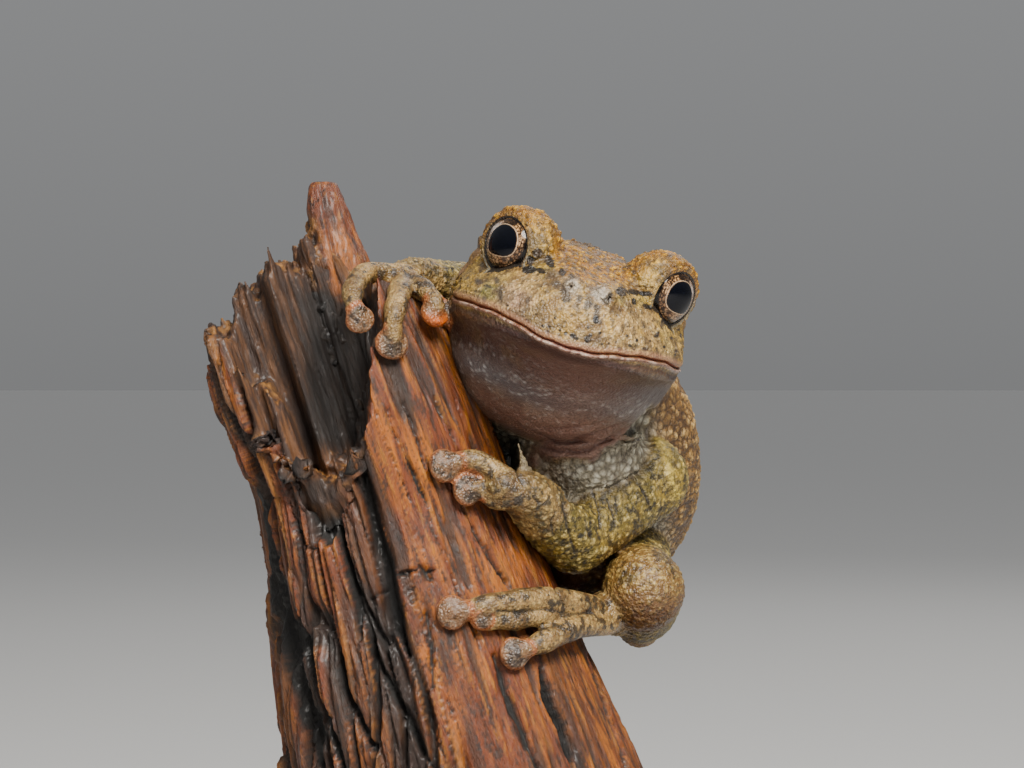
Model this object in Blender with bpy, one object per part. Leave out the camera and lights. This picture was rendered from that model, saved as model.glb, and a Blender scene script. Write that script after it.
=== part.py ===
"""Gray tree frog at life size, clinging to a short broken branch on a display stand.

Places are in millimetres in the view frame: X to the right, Y away from the front, Z up, measured
from the point level with the middle of the front view, in the plane of the eyes. REST_SHIFT then
moves everything so that the origin is the centre of the stand's underside.
"""

import math

import bmesh
import bpy
import numpy as np
from mathutils import Matrix, Vector

MM = 0.001
GAP = 0.3

# Stand
BASE_CENTRE = (-4.0, 12.0)
BASE_RADIUS = 31.0
BASE_THICKNESS = 5.0
BASE_CHAMFER = 0.8
BASE_TOP = -41.0
ROD_RADIUS = 2.2
ROD_CHAMFER = 0.2
ROD_PLACES = ((-3.2, 2.6), (-3.2, 10.4))
FLOOR = BASE_TOP - BASE_THICKNESS
REST_SHIFT = Vector((-BASE_CENTRE[0], -BASE_CENTRE[1], -FLOOR))

# Branch: height, place across and radius of its axis, which stays at one depth
BRANCH_DEPTH = 6.5
BRANCH_AXIS = (
    (-31.0, -2.6, 13.2),
    (-27.0, -3.5, 12.7),
    (-15.2, -6.8, 10.6),
    (-8.2, -8.8, 9.5),
    (-1.8, -11.2, 9.6),
    (4.5, -13.6, 9.2),
    (10.5, -15.7, 8.6),
)
BRANCH_FOOT = -29.5
# Outline of the broken top: place across, height
BRANCH_TOP = (
    (-30.0, -6.0),
    (-21.4, -1.8),
    (-20.7, 2.6),
    (-18.2, 6.0),
    (-14.8, 9.2),
    (-10.4, 8.0),
    (-7.8, 6.9),
    (-5.0, 4.6),
    (-3.6, 2.5),
    (8.0, -4.0),
)
# Crest of the broken front layer: place across, height
SHELF = (
    (-30.0, -3.2),
    (-16.7, -3.9),
    (-14.9, -5.0),
    (-12.1, -6.7),
    (-10.0, -4.6),
    (-9.3, 2.0),
    (-9.0, 12.0),
    (8.0, 12.0),
)
SHELF_BACK = 0.6
# Tall splinter: place, half width and half depth at four heights
SPLINTER = (
    (-11.6, 5.6, 3.5, 3.4, 3.2),
    (-12.2, 5.6, 8.5, 2.5, 2.3),
    (-13.0, 5.7, 12.2, 1.2, 1.4),
    (-13.4, 5.8, 14.2, 0.5, 0.6),
)
# Ridges round the branch: how many, how high, and where they start
GROOVES = ((5, 0.28, 0.4), (9, 0.30, 1.7), (14, 0.22, 3.1), (23, 0.14, 0.9))
GROOVE_TWIST = 0.015
BRANCH_SIDES = 56
BRANCH_LEVELS = 30
BRANCH_LIMIT = 12.0

# Head: its own frame has its origin midway between the eyes
EYE_MIDDLE = Vector((5.3, 0.0, 7.8))
HEAD_ROLL = 17.7
HEAD_YAW = 3.0
HEAD_PITCH = 5.0
MOUTH_DROP = 4.7
EYE_SIDE = 4.9
EYE_RADIUS = 2.2
LID_RADIUS = 2.8
EYE_OUTWARD = 44.0
EYE_UPWARD = -2.0
# Opening between the lids: how far out along the eye's axis, and its half sizes
LID_WINDOW_REACH = 2.6
LID_WINDOW = (1.9, 2.02, 2.02)
# Place behind the eyes, half width, rise over and drop under the mouth line, roundness above and below
HEAD_SECTIONS = (
    (-8.25, 0.8, 1.2, 0.5, 2.0, 2.0),
    (-8.05, 1.9, 2.2, 0.9, 2.0, 2.0),
    (-7.6, 3.0, 3.0, 1.3, 2.0, 2.0),
    (-6.8, 4.2, 3.6, 1.7, 2.0, 2.0),
    (-5.5, 5.55, 4.2, 2.3, 1.95, 2.0),
    (-3.5, 6.85, 4.8, 3.3, 1.8, 2.0),
    (-1.0, 7.75, 5.5, 4.7, 1.75, 2.0),
    (1.5, 8.15, 5.9, 6.3, 1.8, 2.0),
    (4.0, 8.25, 6.0, 7.9, 2.0, 2.0),
    (7.0, 8.2, 5.8, 8.9, 2.1, 2.0),
)
# Centre, backward direction, roll, half width, rise, drop
TRUNK_SECTIONS = (
    ((3.8, 12.0, 1.6), (0.03, 0.88, -0.45), 27.0, 7.7, 6.2, 8.2),
    ((4.9, 17.5, -2.6), (0.10, 0.77, -0.63), 36.0, 9.4, 7.4, 7.6),
    ((5.6, 22.8, -6.8), (0.10, 0.77, -0.63), 40.0, 9.3, 7.2, 7.2),
    ((6.0, 27.3, -10.2), (0.05, 0.80, -0.60), 40.0, 7.2, 5.6, 5.8),
    ((6.1, 30.3, -12.3), (0.05, 0.80, -0.60), 40.0, 4.2, 3.6, 3.8),
    ((6.1, 31.9, -13.4), (0.05, 0.80, -0.60), 40.0, 1.3, 1.2, 1.2),
)
BODY_SIDES = 40
BODY_RINGS = 64
TYMPANUM = (6.9, 4.9, -2.0)
TYMPANUM_RADIUS = 1.4
TYMPANUM_THICKNESS = 0.9
NOSTRIL = (1.15, -6.75, -1.15)
NOSTRIL_SWELL = 0.75
NOSTRIL_PIT = 0.28
MOUTH_GAP = 0.32
MOUTH_DEPTH = 0.55
NECK_SHARE = 0.45
NECK_WAY = (0.0, 0.93, -0.36)

# Limbs: points on the middle line with the radius there
LEFT_SHOULDER = (9.6, 10.2, -6.8)
LEFT_ELBOW = (4.4, 4.4, -10.9)
LEFT_WRIST = (1.0, -0.4, -7.6)
RIGHT_SHOULDER = (3.4, 14.6, 3.0)
RIGHT_ELBOW = (-2.8, 12.6, 6.6)
RIGHT_WRIST = (-7.0, 4.4, 7.5)
LEFT_HIP = (8.0, 27.0, -11.5)
LEFT_KNEE = (9.2, 5.0, -14.3)
LEFT_HEEL = (9.8, 25.5, -18.6)
LEFT_TARSUS = (8.2, 12.8, -16.8)
RIGHT_HIP = (2.6, 28.0, -8.5)
RIGHT_KNEE = (-13.4, 19.6, -0.8)
RIGHT_HEEL = (-5.2, 28.2, -13.0)
RIGHT_TARSUS = (-11.6, 20.0, -9.2)

SHOULDER_RADII = (2.9, 3.0)
RUMP_RADIUS = 4.0
UPPER_ARM_RADII = {"left": (2.9, 2.7, 2.35, 2.3), "right": (2.6, 2.5, 2.2, 2.1)}
FOREARM_RADII = {"left": (2.3, 2.25, 2.0, 1.75), "right": (2.1, 1.9, 1.6, 1.3)}
THIGH_RADII = (3.4, 3.3, 3.0, 2.65, 2.75)
SHANK_RADII = (2.7, 2.55, 2.4, 1.9, 1.7)
HEEL_RADII = (1.7, 1.35, 1.5, 1.45)
WRIST_SHARE = 0.86

FINGER_RADIUS = 0.78
ROOT_SWELL = 1.12
PAD_RADIUS = 1.22
SMALL_PAD_RADIUS = 1.0
PAD_SHORTNESS = 0.86
PAD_THICKNESS = 0.62
WEB_THICKNESS = 0.5

# Fingers and toes: free points x, y, z, then points on the bark as place across, height and lift
LEFT_PALM_END = (-0.6, -1.7, -6.9)
LEFT_FINGERS = (
    (((-0.2, -1.6, -6.6),), ((-1.6, -5.6, 1.5), (-3.0, -5.1, 0.95), (-4.6, -5.5, 0.5))),
    (((0.0, -1.7, -7.6),), ((-1.2, -7.7, 1.4), (-2.1, -7.1, 1.0), (-3.1, -7.15, 0.55))),
    (((0.6, -0.8, -8.2),), ((0.0, -8.9, 1.0), (0.9, -9.6, 0.6))),
    (((0.4, -0.4, -6.6),), ((0.2, -5.4, 0.9), (0.8, -4.4, 0.6))),
)
RIGHT_PALM_END = (-8.0, 2.4, 7.2)
RIGHT_FINGERS = (
    (((-8.2, 2.4, 7.5), (-9.9, 0.9, 7.6), (-10.7, -1.2, 6.5), (-10.6, -2.7, 5.3)), ((-10.2, 4.3, 0.5),)),
    (((-7.6, 1.9, 6.8), (-7.7, -0.6, 6.0), (-7.9, -2.5, 4.6)), ((-8.1, 2.7, 0.5),)),
    (((-7.2, 3.6, 6.9), (-5.6, 3.2, 6.1), (-4.6, 3.4, 4.8)), ()),
)
# The lifted finger of the right hand shows the underside of its disc
LIFTED_FINGER = ((-6.9, 2.4, 6.9), (-5.9, 0.9, 6.3), (-5.3, 0.1, 5.5), (-5.3, 0.2, 4.7))
LIFTED_PAD_WAY = (0.55, -0.55, 0.63)
LEFT_SOLE_END = (6.3, 4.4, -15.9)
LEFT_TOES = (
    (((6.3, 4.2, -15.7),), ((2.6, -14.5, 1.3), (-0.8, -14.7, 0.95), (-4.0, -15.2, 0.5))),
    (((6.0, 4.0, -16.0),), ((2.8, -15.6, 0.9), (-0.2, -15.8, 0.65), (-2.4, -15.8, 0.45))),
    (((6.6, 3.9, -16.6),), ((4.2, -16.6, 1.3), (2.1, -17.3, 1.0), (0.1, -18.0, 0.5))),
    (((6.4, 5.0, -15.8),), ((4.3, -15.4, 0.9), (3.1, -15.2, 0.5))),
)
LEFT_INNER_TOE = ((7.0, 6.2, -16.0), (5.3, 5.6, -16.2), (4.7, 6.6, -16.6))
# Toes behind the branch: angle round it from its right side, height and lift
RIGHT_SOLE_END = (108, -8.0, 2.6)
RIGHT_TOES = (
    ((112, -7.4, 2.2), (120, -4.6, 1.0), (124, -2.6, 0.5)),
    ((114, -7.4, 2.2), (128, -5.2, 1.1), (136, -3.4, 0.5)),
    ((116, -7.6, 2.1), (134, -6.4, 1.1), (143, -5.4, 0.5)),
    ((116, -7.9, 2.1), (134, -7.8, 1.2), (144, -7.6, 1.0), (153, -7.6, 0.5)),
    ((116, -8.2, 2.1), (130, -9.4, 1.1), (140, -10.4, 0.5)),
)

# Triangle budgets and voxel sizes
TRIANGLES = {
    "body": 9000,
    "head": 2300,
    "torso": 1700,
    "perch": 1800,
    "arm": 380,
    "thigh": 460,
    "shank": 420,
    "hand": 850,
    "foot": 1000,
}
COARSE_VOXEL = 0.3
FINE_VOXEL = 0.2

SKIN_BACK = (0.33, 0.25, 0.13)
SKIN_LIMB = (0.36, 0.30, 0.17)
SKIN_HAND = (0.45, 0.34, 0.22)
EYE_COLOUR = (0.02, 0.02, 0.03)
BRANCH_COLOUR = (0.30, 0.13, 0.05)
STAND_COLOUR = (0.05, 0.04, 0.035)
ROD_COLOUR = (0.55, 0.52, 0.46)


def clear_scene():
    for ob in list(bpy.data.objects):
        bpy.data.objects.remove(ob, do_unlink=True)


def material(name, colour, roughness, metallic=0.0):
    mat = bpy.data.materials.new(name)
    mat.use_nodes = True
    shader = mat.node_tree.nodes["Principled BSDF"]
    shader.inputs["Base Color"].default_value = (*colour, 1.0)
    shader.inputs["Roughness"].default_value = roughness
    shader.inputs["Metallic"].default_value = metallic
    return mat


def mesh_object(name, points, faces):
    """A new object from points in the view frame, in millimetres."""
    moved = [(Vector(map(float, p)) + REST_SHIFT) * MM for p in points]
    mesh = bpy.data.meshes.new(name)
    mesh.from_pydata(moved, [], faces)
    mesh.update()
    ob = bpy.data.objects.new(name, mesh)
    bpy.context.scene.collection.objects.link(ob)
    return ob


def applied(ob):
    """The object with its modifiers applied."""
    bpy.context.view_layer.update()
    graph = bpy.context.evaluated_depsgraph_get()
    mesh = bpy.data.meshes.new_from_object(ob.evaluated_get(graph))
    ob.modifiers.clear()
    ob.data = mesh
    return ob


def joined(name, objects):
    """One object that holds the meshes of several."""
    made = bmesh.new()
    for ob in objects:
        made.from_mesh(ob.data)
        bpy.data.objects.remove(ob, do_unlink=True)
    mesh = bpy.data.meshes.new(name)
    made.to_mesh(mesh)
    made.free()
    ob = bpy.data.objects.new(name, mesh)
    bpy.context.scene.collection.objects.link(ob)
    return ob


def keep_largest(ob):
    """Drops every loose scrap but the largest closed surface."""
    made = bmesh.new()
    made.from_mesh(ob.data)
    left = set(made.verts)
    islands = []
    while left:
        seed = left.pop()
        island = {seed}
        front = [seed]
        while front:
            vert = front.pop()
            for edge in vert.link_edges:
                other = edge.other_vert(vert)
                if other in left:
                    left.remove(other)
                    island.add(other)
                    front.append(other)
        islands.append(island)
    islands.sort(key=len, reverse=True)
    for island in islands[1:]:
        bmesh.ops.delete(made, geom=list(island), context="VERTS")
    made.to_mesh(ob.data)
    made.free()
    return ob


def fused(name, objects, voxel, smooth, triangles):
    """Closed pieces melted into one skin, smoothed and thinned to a number of triangles."""
    ob = joined(name, objects)
    remesh = ob.modifiers.new("Remesh", "REMESH")
    remesh.mode = "VOXEL"
    remesh.voxel_size = voxel * MM
    if smooth:
        relax = ob.modifiers.new("Smooth", "SMOOTH")
        relax.factor = 0.5
        relax.iterations = smooth
    applied(ob)
    keep_largest(ob)
    return thinned(ob, triangles)


def thinned(ob, triangles):
    ob.data.calc_loop_triangles()
    share = triangles / max(1, len(ob.data.loop_triangles))
    if share < 1:
        decimate = ob.modifiers.new("Decimate", "DECIMATE")
        decimate.ratio = share
        decimate.use_collapse_triangulate = True
        applied(ob)
    return ob


def cut_away(ob, cutters, grow=0.0):
    """Takes other pieces, swollen by a gap, out of an object."""
    for cutter in cutters:
        copy = bpy.data.objects.new("cutter", cutter.data.copy())
        bpy.context.scene.collection.objects.link(copy)
        copy.hide_render = True
        if grow:
            swell = copy.modifiers.new("Swell", "DISPLACE")
            swell.strength = grow * MM
            swell.mid_level = 0.0
            applied(copy)
        boolean = ob.modifiers.new("Cut", "BOOLEAN")
        boolean.operation = "DIFFERENCE"
        boolean.object = copy
        applied(ob)
        bpy.data.objects.remove(copy, do_unlink=True)
    return keep_largest(ob)


def clip(ob, point, normal):
    """Keeps the side of a plane that its normal points away from, and closes the cut."""
    made = bmesh.new()
    made.from_mesh(ob.data)
    place = (Vector(point) + REST_SHIFT) * MM
    geom = made.verts[:] + made.edges[:] + made.faces[:]
    bmesh.ops.bisect_plane(
        made, geom=geom, dist=1e-7, plane_co=place, plane_no=Vector(normal), clear_outer=True
    )
    rim = [edge for edge in made.edges if edge.is_boundary]
    bmesh.ops.holes_fill(made, edges=rim, sides=0)
    bmesh.ops.triangulate(made, faces=[face for face in made.faces if len(face.verts) > 4])
    bmesh.ops.recalc_face_normals(made, faces=made.faces[:])
    made.to_mesh(ob.data)
    made.free()
    return keep_largest(ob)


def spline(rows, t):
    """Catmull-Rom through rows of numbers, t from 0 to 1 over the whole run."""
    rows = np.asarray(rows, float)
    place = np.clip(t, 0, 1) * (len(rows) - 1)
    i = min(int(place), len(rows) - 2)
    f = place - i
    a = rows[max(i - 1, 0)]
    b = rows[i]
    c = rows[i + 1]
    d = rows[min(i + 2, len(rows) - 1)]
    m = (c - a) / 2
    n = (d - b) / 2
    return (
        b * (2 * f**3 - 3 * f**2 + 1)
        + m * (f**3 - 2 * f**2 + f)
        + c * (3 * f**2 - 2 * f**3)
        + n * (f**3 - f**2)
    )


def loft(name, rings):
    """A closed skin over rings of points, with a flat end at each side."""
    sides = len(rings[0])
    points = [p for ring in rings for p in ring]
    faces = []
    for i in range(len(rings) - 1):
        for k in range(sides):
            m = (k + 1) % sides
            faces.append((i * sides + k, i * sides + m, (i + 1) * sides + m, (i + 1) * sides + k))
    faces.append(tuple(range(sides))[::-1])
    faces.append(tuple((len(rings) - 1) * sides + k for k in range(sides)))
    ob = mesh_object(name, points, faces)
    made = bmesh.new()
    made.from_mesh(ob.data)
    bmesh.ops.recalc_face_normals(made, faces=made.faces[:])
    made.to_mesh(ob.data)
    made.free()
    return ob


def tube(name, rows, sides=12, spacing=0.6):
    """A limb along a smooth line; each row is x, y, z and the radius there. Both ends are domes."""
    rows = np.asarray(rows, float)
    length = np.linalg.norm(np.diff(rows[:, :3], axis=0), axis=1).sum()
    count = max(4, int(length / spacing))
    along = [spline(rows, i / count) for i in range(count + 1)]
    line = np.array([row[:3] for row in along])
    radius = np.array([row[3] for row in along])
    tangent = np.gradient(line, axis=0)
    tangent /= np.linalg.norm(tangent, axis=1)[:, None]
    side = np.cross(tangent[0], (0.31, 0.22, 0.93))
    rings = []
    dome = (0.97, 0.85, 0.62, 0.3)
    turn = np.arange(sides) * 2 * math.pi / sides
    for i in range(count + 1):
        side = side - tangent[i] * side.dot(tangent[i])
        side /= np.linalg.norm(side)
        up = np.cross(tangent[i], side)
        circle = np.outer(np.cos(turn), side) + np.outer(np.sin(turn), up)
        caps = []
        if i in (0, count):
            sign = -1 if i == 0 else 1
            caps = [
                line[i] + sign * tangent[i] * radius[i] * math.sin(math.acos(k)) + circle * radius[i] * k
                for k in dome
            ]
        ring = line[i] + circle * radius[i]
        rings += caps[::-1] + [ring] if i == 0 else [ring] + caps
    return loft(name, rings)


def ellipsoid(name, centre, axes, sizes, detail=3):
    """A ball stretched by three sizes along three directions."""
    made = bmesh.new()
    bmesh.ops.create_icosphere(made, subdivisions=detail, radius=1.0)
    frame = np.array([np.asarray(a, float) / np.linalg.norm(a) for a in axes])
    points = [np.asarray(centre, float) + (np.array(v.co) * sizes) @ frame for v in made.verts]
    faces = [tuple(v.index for v in f.verts) for f in made.faces]
    if np.linalg.det(frame) < 0:
        faces = [face[::-1] for face in faces]
    made.free()
    return mesh_object(name, points, faces)


def plate(name, corners, thickness):
    """A thin web over a few corner points, as the hull of small balls at them."""
    made = bmesh.new()
    for corner in corners:
        at = Matrix.Translation((Vector(corner) + REST_SHIFT) * MM)
        bmesh.ops.create_icosphere(made, subdivisions=1, radius=thickness / 2 * MM, matrix=at)
    hull = bmesh.ops.convex_hull(made, input=made.verts[:])
    inside = [g for g in hull["geom_interior"] if isinstance(g, bmesh.types.BMVert)]
    unused = [g for g in hull["geom_unused"] if isinstance(g, bmesh.types.BMVert)]
    bmesh.ops.delete(made, geom=list(set(inside + unused)), context="VERTS")
    bmesh.ops.delete(made, geom=[f for f in made.faces if not f.is_valid], context="FACES")
    mesh = bpy.data.meshes.new(name)
    made.to_mesh(mesh)
    made.free()
    ob = bpy.data.objects.new(name, mesh)
    bpy.context.scene.collection.objects.link(ob)
    return ob


def head_frame():
    turn = (
        Matrix.Rotation(math.radians(HEAD_ROLL), 3, "Y")
        @ Matrix.Rotation(math.radians(HEAD_YAW), 3, "Z")
        @ Matrix.Rotation(math.radians(HEAD_PITCH), 3, "X")
    )
    return turn


def head_point(side, back, up):
    return np.array(EYE_MIDDLE + head_frame() @ Vector((side, back, up)))


def body_rows():
    """Centre, backward and leftward directions, half width, rise, drop and roundness of each section."""
    frame = head_frame()
    left = np.array(frame @ Vector((1, 0, 0)))
    back = np.array(frame @ Vector((0, 1, 0)))
    rows = []
    for place, width, rise, drop, above, below in HEAD_SECTIONS:
        centre = head_point(0, place, -MOUTH_DROP)
        rows.append(np.concatenate([centre, back, left, (width, rise, drop, above, below)]))
    for centre, direction, roll, width, rise, drop in TRUNK_SECTIONS:
        direction = np.array(direction) / np.linalg.norm(direction)
        level = np.cross(direction, (0, 0, 1))
        level /= np.linalg.norm(level)
        over = np.cross(level, direction)
        angle = math.radians(roll)
        left = math.cos(angle) * level - math.sin(angle) * over
        rows.append(np.concatenate([centre, direction, left, (width, rise, drop, 2.05, 2.0)]))
    return rows


def body_loft(name):
    rows = body_rows()
    rings = []
    for i in range(BODY_RINGS + 1):
        row = spline(rows, i / BODY_RINGS)
        centre = row[:3]
        back = row[3:6] / np.linalg.norm(row[3:6])
        left = row[6:9] - back * row[6:9].dot(back)
        left /= np.linalg.norm(left)
        up = np.cross(left, back)
        width, rise, drop, above, below = row[9:]
        ring = []
        for k in range(BODY_SIDES):
            turn = 2 * math.pi * k / BODY_SIDES
            c = math.cos(turn)
            s = math.sin(turn)
            power = above if s >= 0 else below
            x = width * math.copysign(abs(c) ** (2 / power), c)
            z = (rise if s >= 0 else drop) * math.copysign(abs(s) ** (2 / power), s)
            ring.append(centre + left * x + up * z)
        rings.append(ring)
    return loft(name, rings)


def eye_axis(side):
    """Where an eye looks, in the view frame; side is 1 on the frog's left and -1 on its right."""
    out = math.radians(EYE_OUTWARD)
    up = math.radians(EYE_UPWARD)
    local = Vector((side * math.sin(out) * math.cos(up), -math.cos(out) * math.cos(up), math.sin(up)))
    return np.array(head_frame() @ local)


def eye_centre(side):
    return head_point(side * EYE_SIDE, 0, 0)


def ball(name, centre, radius, detail=3):
    return ellipsoid(name, centre, ((1, 0, 0), (0, 1, 0), (0, 0, 1)), (radius, radius, radius), detail)


def body_whole():
    """Head and trunk in one skin, with lids, nostril swellings, eardrums and the limbs' roots."""
    parts = [body_loft("loft")]
    for side in (-1, 1):
        parts.append(ball("lid", eye_centre(side), LID_RADIUS, 4))
        nostril = head_point(side * NOSTRIL[0], NOSTRIL[1], NOSTRIL[2])
        parts.append(ball("nostril", nostril, NOSTRIL_SWELL))
        across = head_point(side, 0, 0) - head_point(0, 0, 0)
        along = head_point(0, 1, 0) - head_point(0, 0, 0)
        upward = head_point(0, 0, 1) - head_point(0, 0, 0)
        drum = head_point(side * TYMPANUM[0], TYMPANUM[1], TYMPANUM[2])
        sizes = (TYMPANUM_THICKNESS, TYMPANUM_RADIUS, TYMPANUM_RADIUS)
        parts.append(ellipsoid("drum", drum, (across, along, upward), sizes))
    for shoulder, radius in zip((LEFT_SHOULDER, RIGHT_SHOULDER), SHOULDER_RADII):
        parts.append(ball("shoulder", shoulder, radius))
    for hip in (LEFT_HIP, RIGHT_HIP):
        parts.append(ball("rump", hip, RUMP_RADIUS))
    return fused("body", parts, COARSE_VOXEL, 6, TRIANGLES["body"])


def duplicate(ob, name):
    copy = bpy.data.objects.new(name, ob.data.copy())
    bpy.context.scene.collection.objects.link(copy)
    return copy


def mouth_cutter():
    """A thin horseshoe that leaves the line of the mouth between the lips."""
    inner = []
    outer = []
    rows = [row for row in HEAD_SECTIONS if row[0] <= 4.0]
    for row in rows:
        inner.append((max(row[1] - MOUTH_DEPTH, 0.05), row[0] + (MOUTH_DEPTH if row[0] < -6 else 0.2)))
        outer.append((row[1] + 1.2, row[0] - 1.0))
    shape = [(-x, y) for x, y in outer[::-1]] + outer + inner[::-1]
    shape += [(-x, y) for x, y in inner]
    points = []
    for height in (-MOUTH_DROP - MOUTH_GAP / 2, -MOUTH_DROP + MOUTH_GAP / 2):
        points += [head_point(x, y, height) for x, y in shape]
    count = len(shape)
    faces = [(k, (k + 1) % count, count + (k + 1) % count, count + k) for k in range(count)]
    faces.append(tuple(range(count))[::-1])
    faces.append(tuple(range(count, 2 * count)))
    ob = mesh_object("mouth", points, faces)
    made = bmesh.new()
    made.from_mesh(ob.data)
    bmesh.ops.triangulate(made, faces=made.faces[:])
    bmesh.ops.recalc_face_normals(made, faces=made.faces[:])
    made.to_mesh(ob.data)
    made.free()
    ob.hide_render = True
    return ob


def branch_at(height):
    """Place across and radius of the branch at a height."""
    rows = np.array(BRANCH_AXIS)
    return np.interp(height, rows[:, 0], rows[:, 1]), np.interp(height, rows[:, 0], rows[:, 2])


def bark_front(x, z, lift=0.0):
    """A point on the front of the branch at a place across and a height, lifted off it."""
    middle, radius = branch_at(z)
    middle_up, _ = branch_at(z + 1)
    lean = math.atan2(middle - middle_up, 1.0)
    across = (x - middle) * math.cos(lean)
    reach = radius + lift
    depth = math.sqrt(max(reach**2 - across**2, 0.0))
    return np.array((x, BRANCH_DEPTH - depth, z))


def bark_normal(point):
    middle, _ = branch_at(point[2])
    middle_up, _ = branch_at(point[2] + 1)
    axis = np.array((middle_up - middle, 0.0, 1.0))
    axis /= np.linalg.norm(axis)
    out = np.array(point) - np.array((middle, BRANCH_DEPTH, point[2]))
    out -= axis * out.dot(axis)
    return out / np.linalg.norm(out)


def broken_height(x, y):
    """Height of the broken top over a place: a low front layer at the left and the high rest."""
    top = np.array(BRANCH_TOP)
    shelf = np.array(SHELF)
    jag = 0.35 * math.sin(2.3 * x + 0.8 * y) + 0.25 * math.sin(3.9 * x - 1.7 * y + 1.0)
    high = np.interp(x, top[:, 0], top[:, 1]) + jag - 0.12 * max(0.0, y - BRANCH_DEPTH)
    low = min(high, np.interp(x, shelf[:, 0], shelf[:, 1]) + jag)
    share = min(1.0, max(0.0, (y - SHELF_BACK + 0.5 * jag) / 0.7))
    return low + (high - low) * share


def broken_block(name):
    """Everything over the broken top, to be taken off the branch."""
    across = np.arange(-28.0, 6.1, 0.85)
    near = np.arange(-9.0, -0.5, 1.5)
    step = np.arange(0.0, 1.9, 0.45)
    far = np.arange(2.6, 22.0, 1.6)
    deep = np.concatenate([near, step, far])
    rows = len(across)
    columns = len(deep)
    points = [(x, y, broken_height(x, y)) for x in across for y in deep]
    points += [(x, y, 30.0) for x in across for y in deep]
    faces = []
    half = rows * columns
    for i in range(rows - 1):
        for k in range(columns - 1):
            first = i * columns + k
            corner = (first, first + columns, first + columns + 1, first + 1)
            faces.append(corner[::-1])
            faces.append(tuple(half + c for c in corner))
    edge = list(range(columns))
    edge += [i * columns + columns - 1 for i in range(1, rows)]
    edge += [(rows - 1) * columns + k for k in range(columns - 2, -1, -1)]
    edge += [i * columns for i in range(rows - 2, 0, -1)]
    for k in range(len(edge)):
        m = (k + 1) % len(edge)
        faces.append((edge[k], edge[m], half + edge[m], half + edge[k]))
    ob = mesh_object(name, points, faces)
    made = bmesh.new()
    made.from_mesh(ob.data)
    bmesh.ops.triangulate(made, faces=made.faces[:])
    bmesh.ops.recalc_face_normals(made, faces=made.faces[:])
    made.to_mesh(ob.data)
    made.free()
    return ob


def branch(name):
    """The broken branch: grooved sides, a broken top with a low front layer, and a splinter."""
    rings = []
    for level in np.linspace(BRANCH_FOOT, BRANCH_LIMIT, BRANCH_LEVELS):
        middle, radius = branch_at(level)
        ring = []
        for k in range(BRANCH_SIDES):
            turn = 2 * math.pi * k / BRANCH_SIDES
            ridge = 0.0
            for count, size, phase in GROOVES:
                ridge += size * math.sin(count * (turn + level * GROOVE_TWIST) + phase)
            reach = radius + ridge
            ring.append((middle + reach * math.cos(turn), BRANCH_DEPTH + reach * math.sin(turn), level))
        rings.append(ring)
    body = loft("stub", rings)
    block = broken_block("broken")
    cut_away(body, [block])
    bpy.data.objects.remove(block, do_unlink=True)
    spike_rings = []
    around = np.arange(12) * math.pi / 6
    for i in range(13):
        x, y, z, width, depth = spline(SPLINTER, i / 12)
        spike_rings.append([(x + width * math.cos(a), y + depth * math.sin(a), z) for a in around])
    spike = loft("spike", spike_rings)
    return fused(name, [body, spike], COARSE_VOXEL, 0, TRIANGLES["perch"])


def pad(tip, normal, along, radius=PAD_RADIUS):
    """A round adhesive disc under a finger tip."""
    normal = np.asarray(normal, float)
    along = np.asarray(along, float)
    along = along - normal * along.dot(normal)
    across = np.cross(normal, along)
    sizes = (radius, radius * PAD_SHORTNESS, PAD_THICKNESS)
    return ellipsoid("pad", tip, (across, along, normal), sizes)


def digit(rows, tip_normal, pad_radius=PAD_RADIUS):
    """A finger or toe along its rows of x, y, z, ending in its disc."""
    rows = np.array(rows, float)
    sized = [(*row, FINGER_RADIUS * (ROOT_SWELL if i == 0 else 1.0)) for i, row in enumerate(rows)]
    way = rows[-1] - rows[-2]
    return [tube("digit", sized, 10, 0.5), pad(rows[-1], tip_normal, way, pad_radius)]


def digit_rows(free, on_bark):
    """The points of one finger or toe: those in the air, then those over the bark."""
    return [*free, *(tuple(bark_front(*place)) for place in on_bark)]


def toward(a, b):
    way = np.array(b, float) - np.array(a, float)
    return way / np.linalg.norm(way)


def joint_normal(before, joint, after):
    """The mitre plane's normal where two limb pieces meet."""
    total = toward(before, joint) + toward(joint, after)
    return total / np.linalg.norm(total)


def shifted(point, normal, amount):
    return tuple(np.array(point, float) + np.array(normal) * amount)


def between(a, b, share):
    return tuple(np.array(a) * (1 - share) + np.array(b) * share)


def segment(name, start, end, sizes, triangles, bow=(0, 0, 0)):
    """A limb piece from joint to joint; sizes are its radii at equal steps, bow pushes its middle out."""
    rows = []
    for i, size in enumerate(sizes):
        share = i / (len(sizes) - 1)
        place = np.array(between(start, end, share)) + np.array(bow) * 4 * share * (1 - share)
        rows.append((*place, size))
    return fused(name, [tube(name, rows, 16)], COARSE_VOXEL, 2, triangles)


def hand_left():
    start = between(LEFT_ELBOW, LEFT_WRIST, 0.8)
    parts = [tube("palm", [(*start, 1.85), (*LEFT_WRIST, 1.75), (*LEFT_PALM_END, 1.25)])]
    for free, on_bark in LEFT_FINGERS:
        rows = digit_rows(free, on_bark)
        parts += digit(rows, bark_normal(rows[-1]))
    return fused("hand_left", parts, FINE_VOXEL, 2, TRIANGLES["hand"])


def hand_right():
    start = between(RIGHT_ELBOW, RIGHT_WRIST, 0.85)
    parts = [tube("palm", [(*start, 1.3), (*RIGHT_WRIST, 1.3), (*RIGHT_PALM_END, 1.1)])]
    for free, on_bark in RIGHT_FINGERS:
        rows = digit_rows(free, on_bark)
        parts += digit(rows, bark_normal(rows[-1]))
    parts += digit(LIFTED_FINGER, LIFTED_PAD_WAY)
    return fused("hand_right", parts, FINE_VOXEL, 2, TRIANGLES["hand"])


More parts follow.
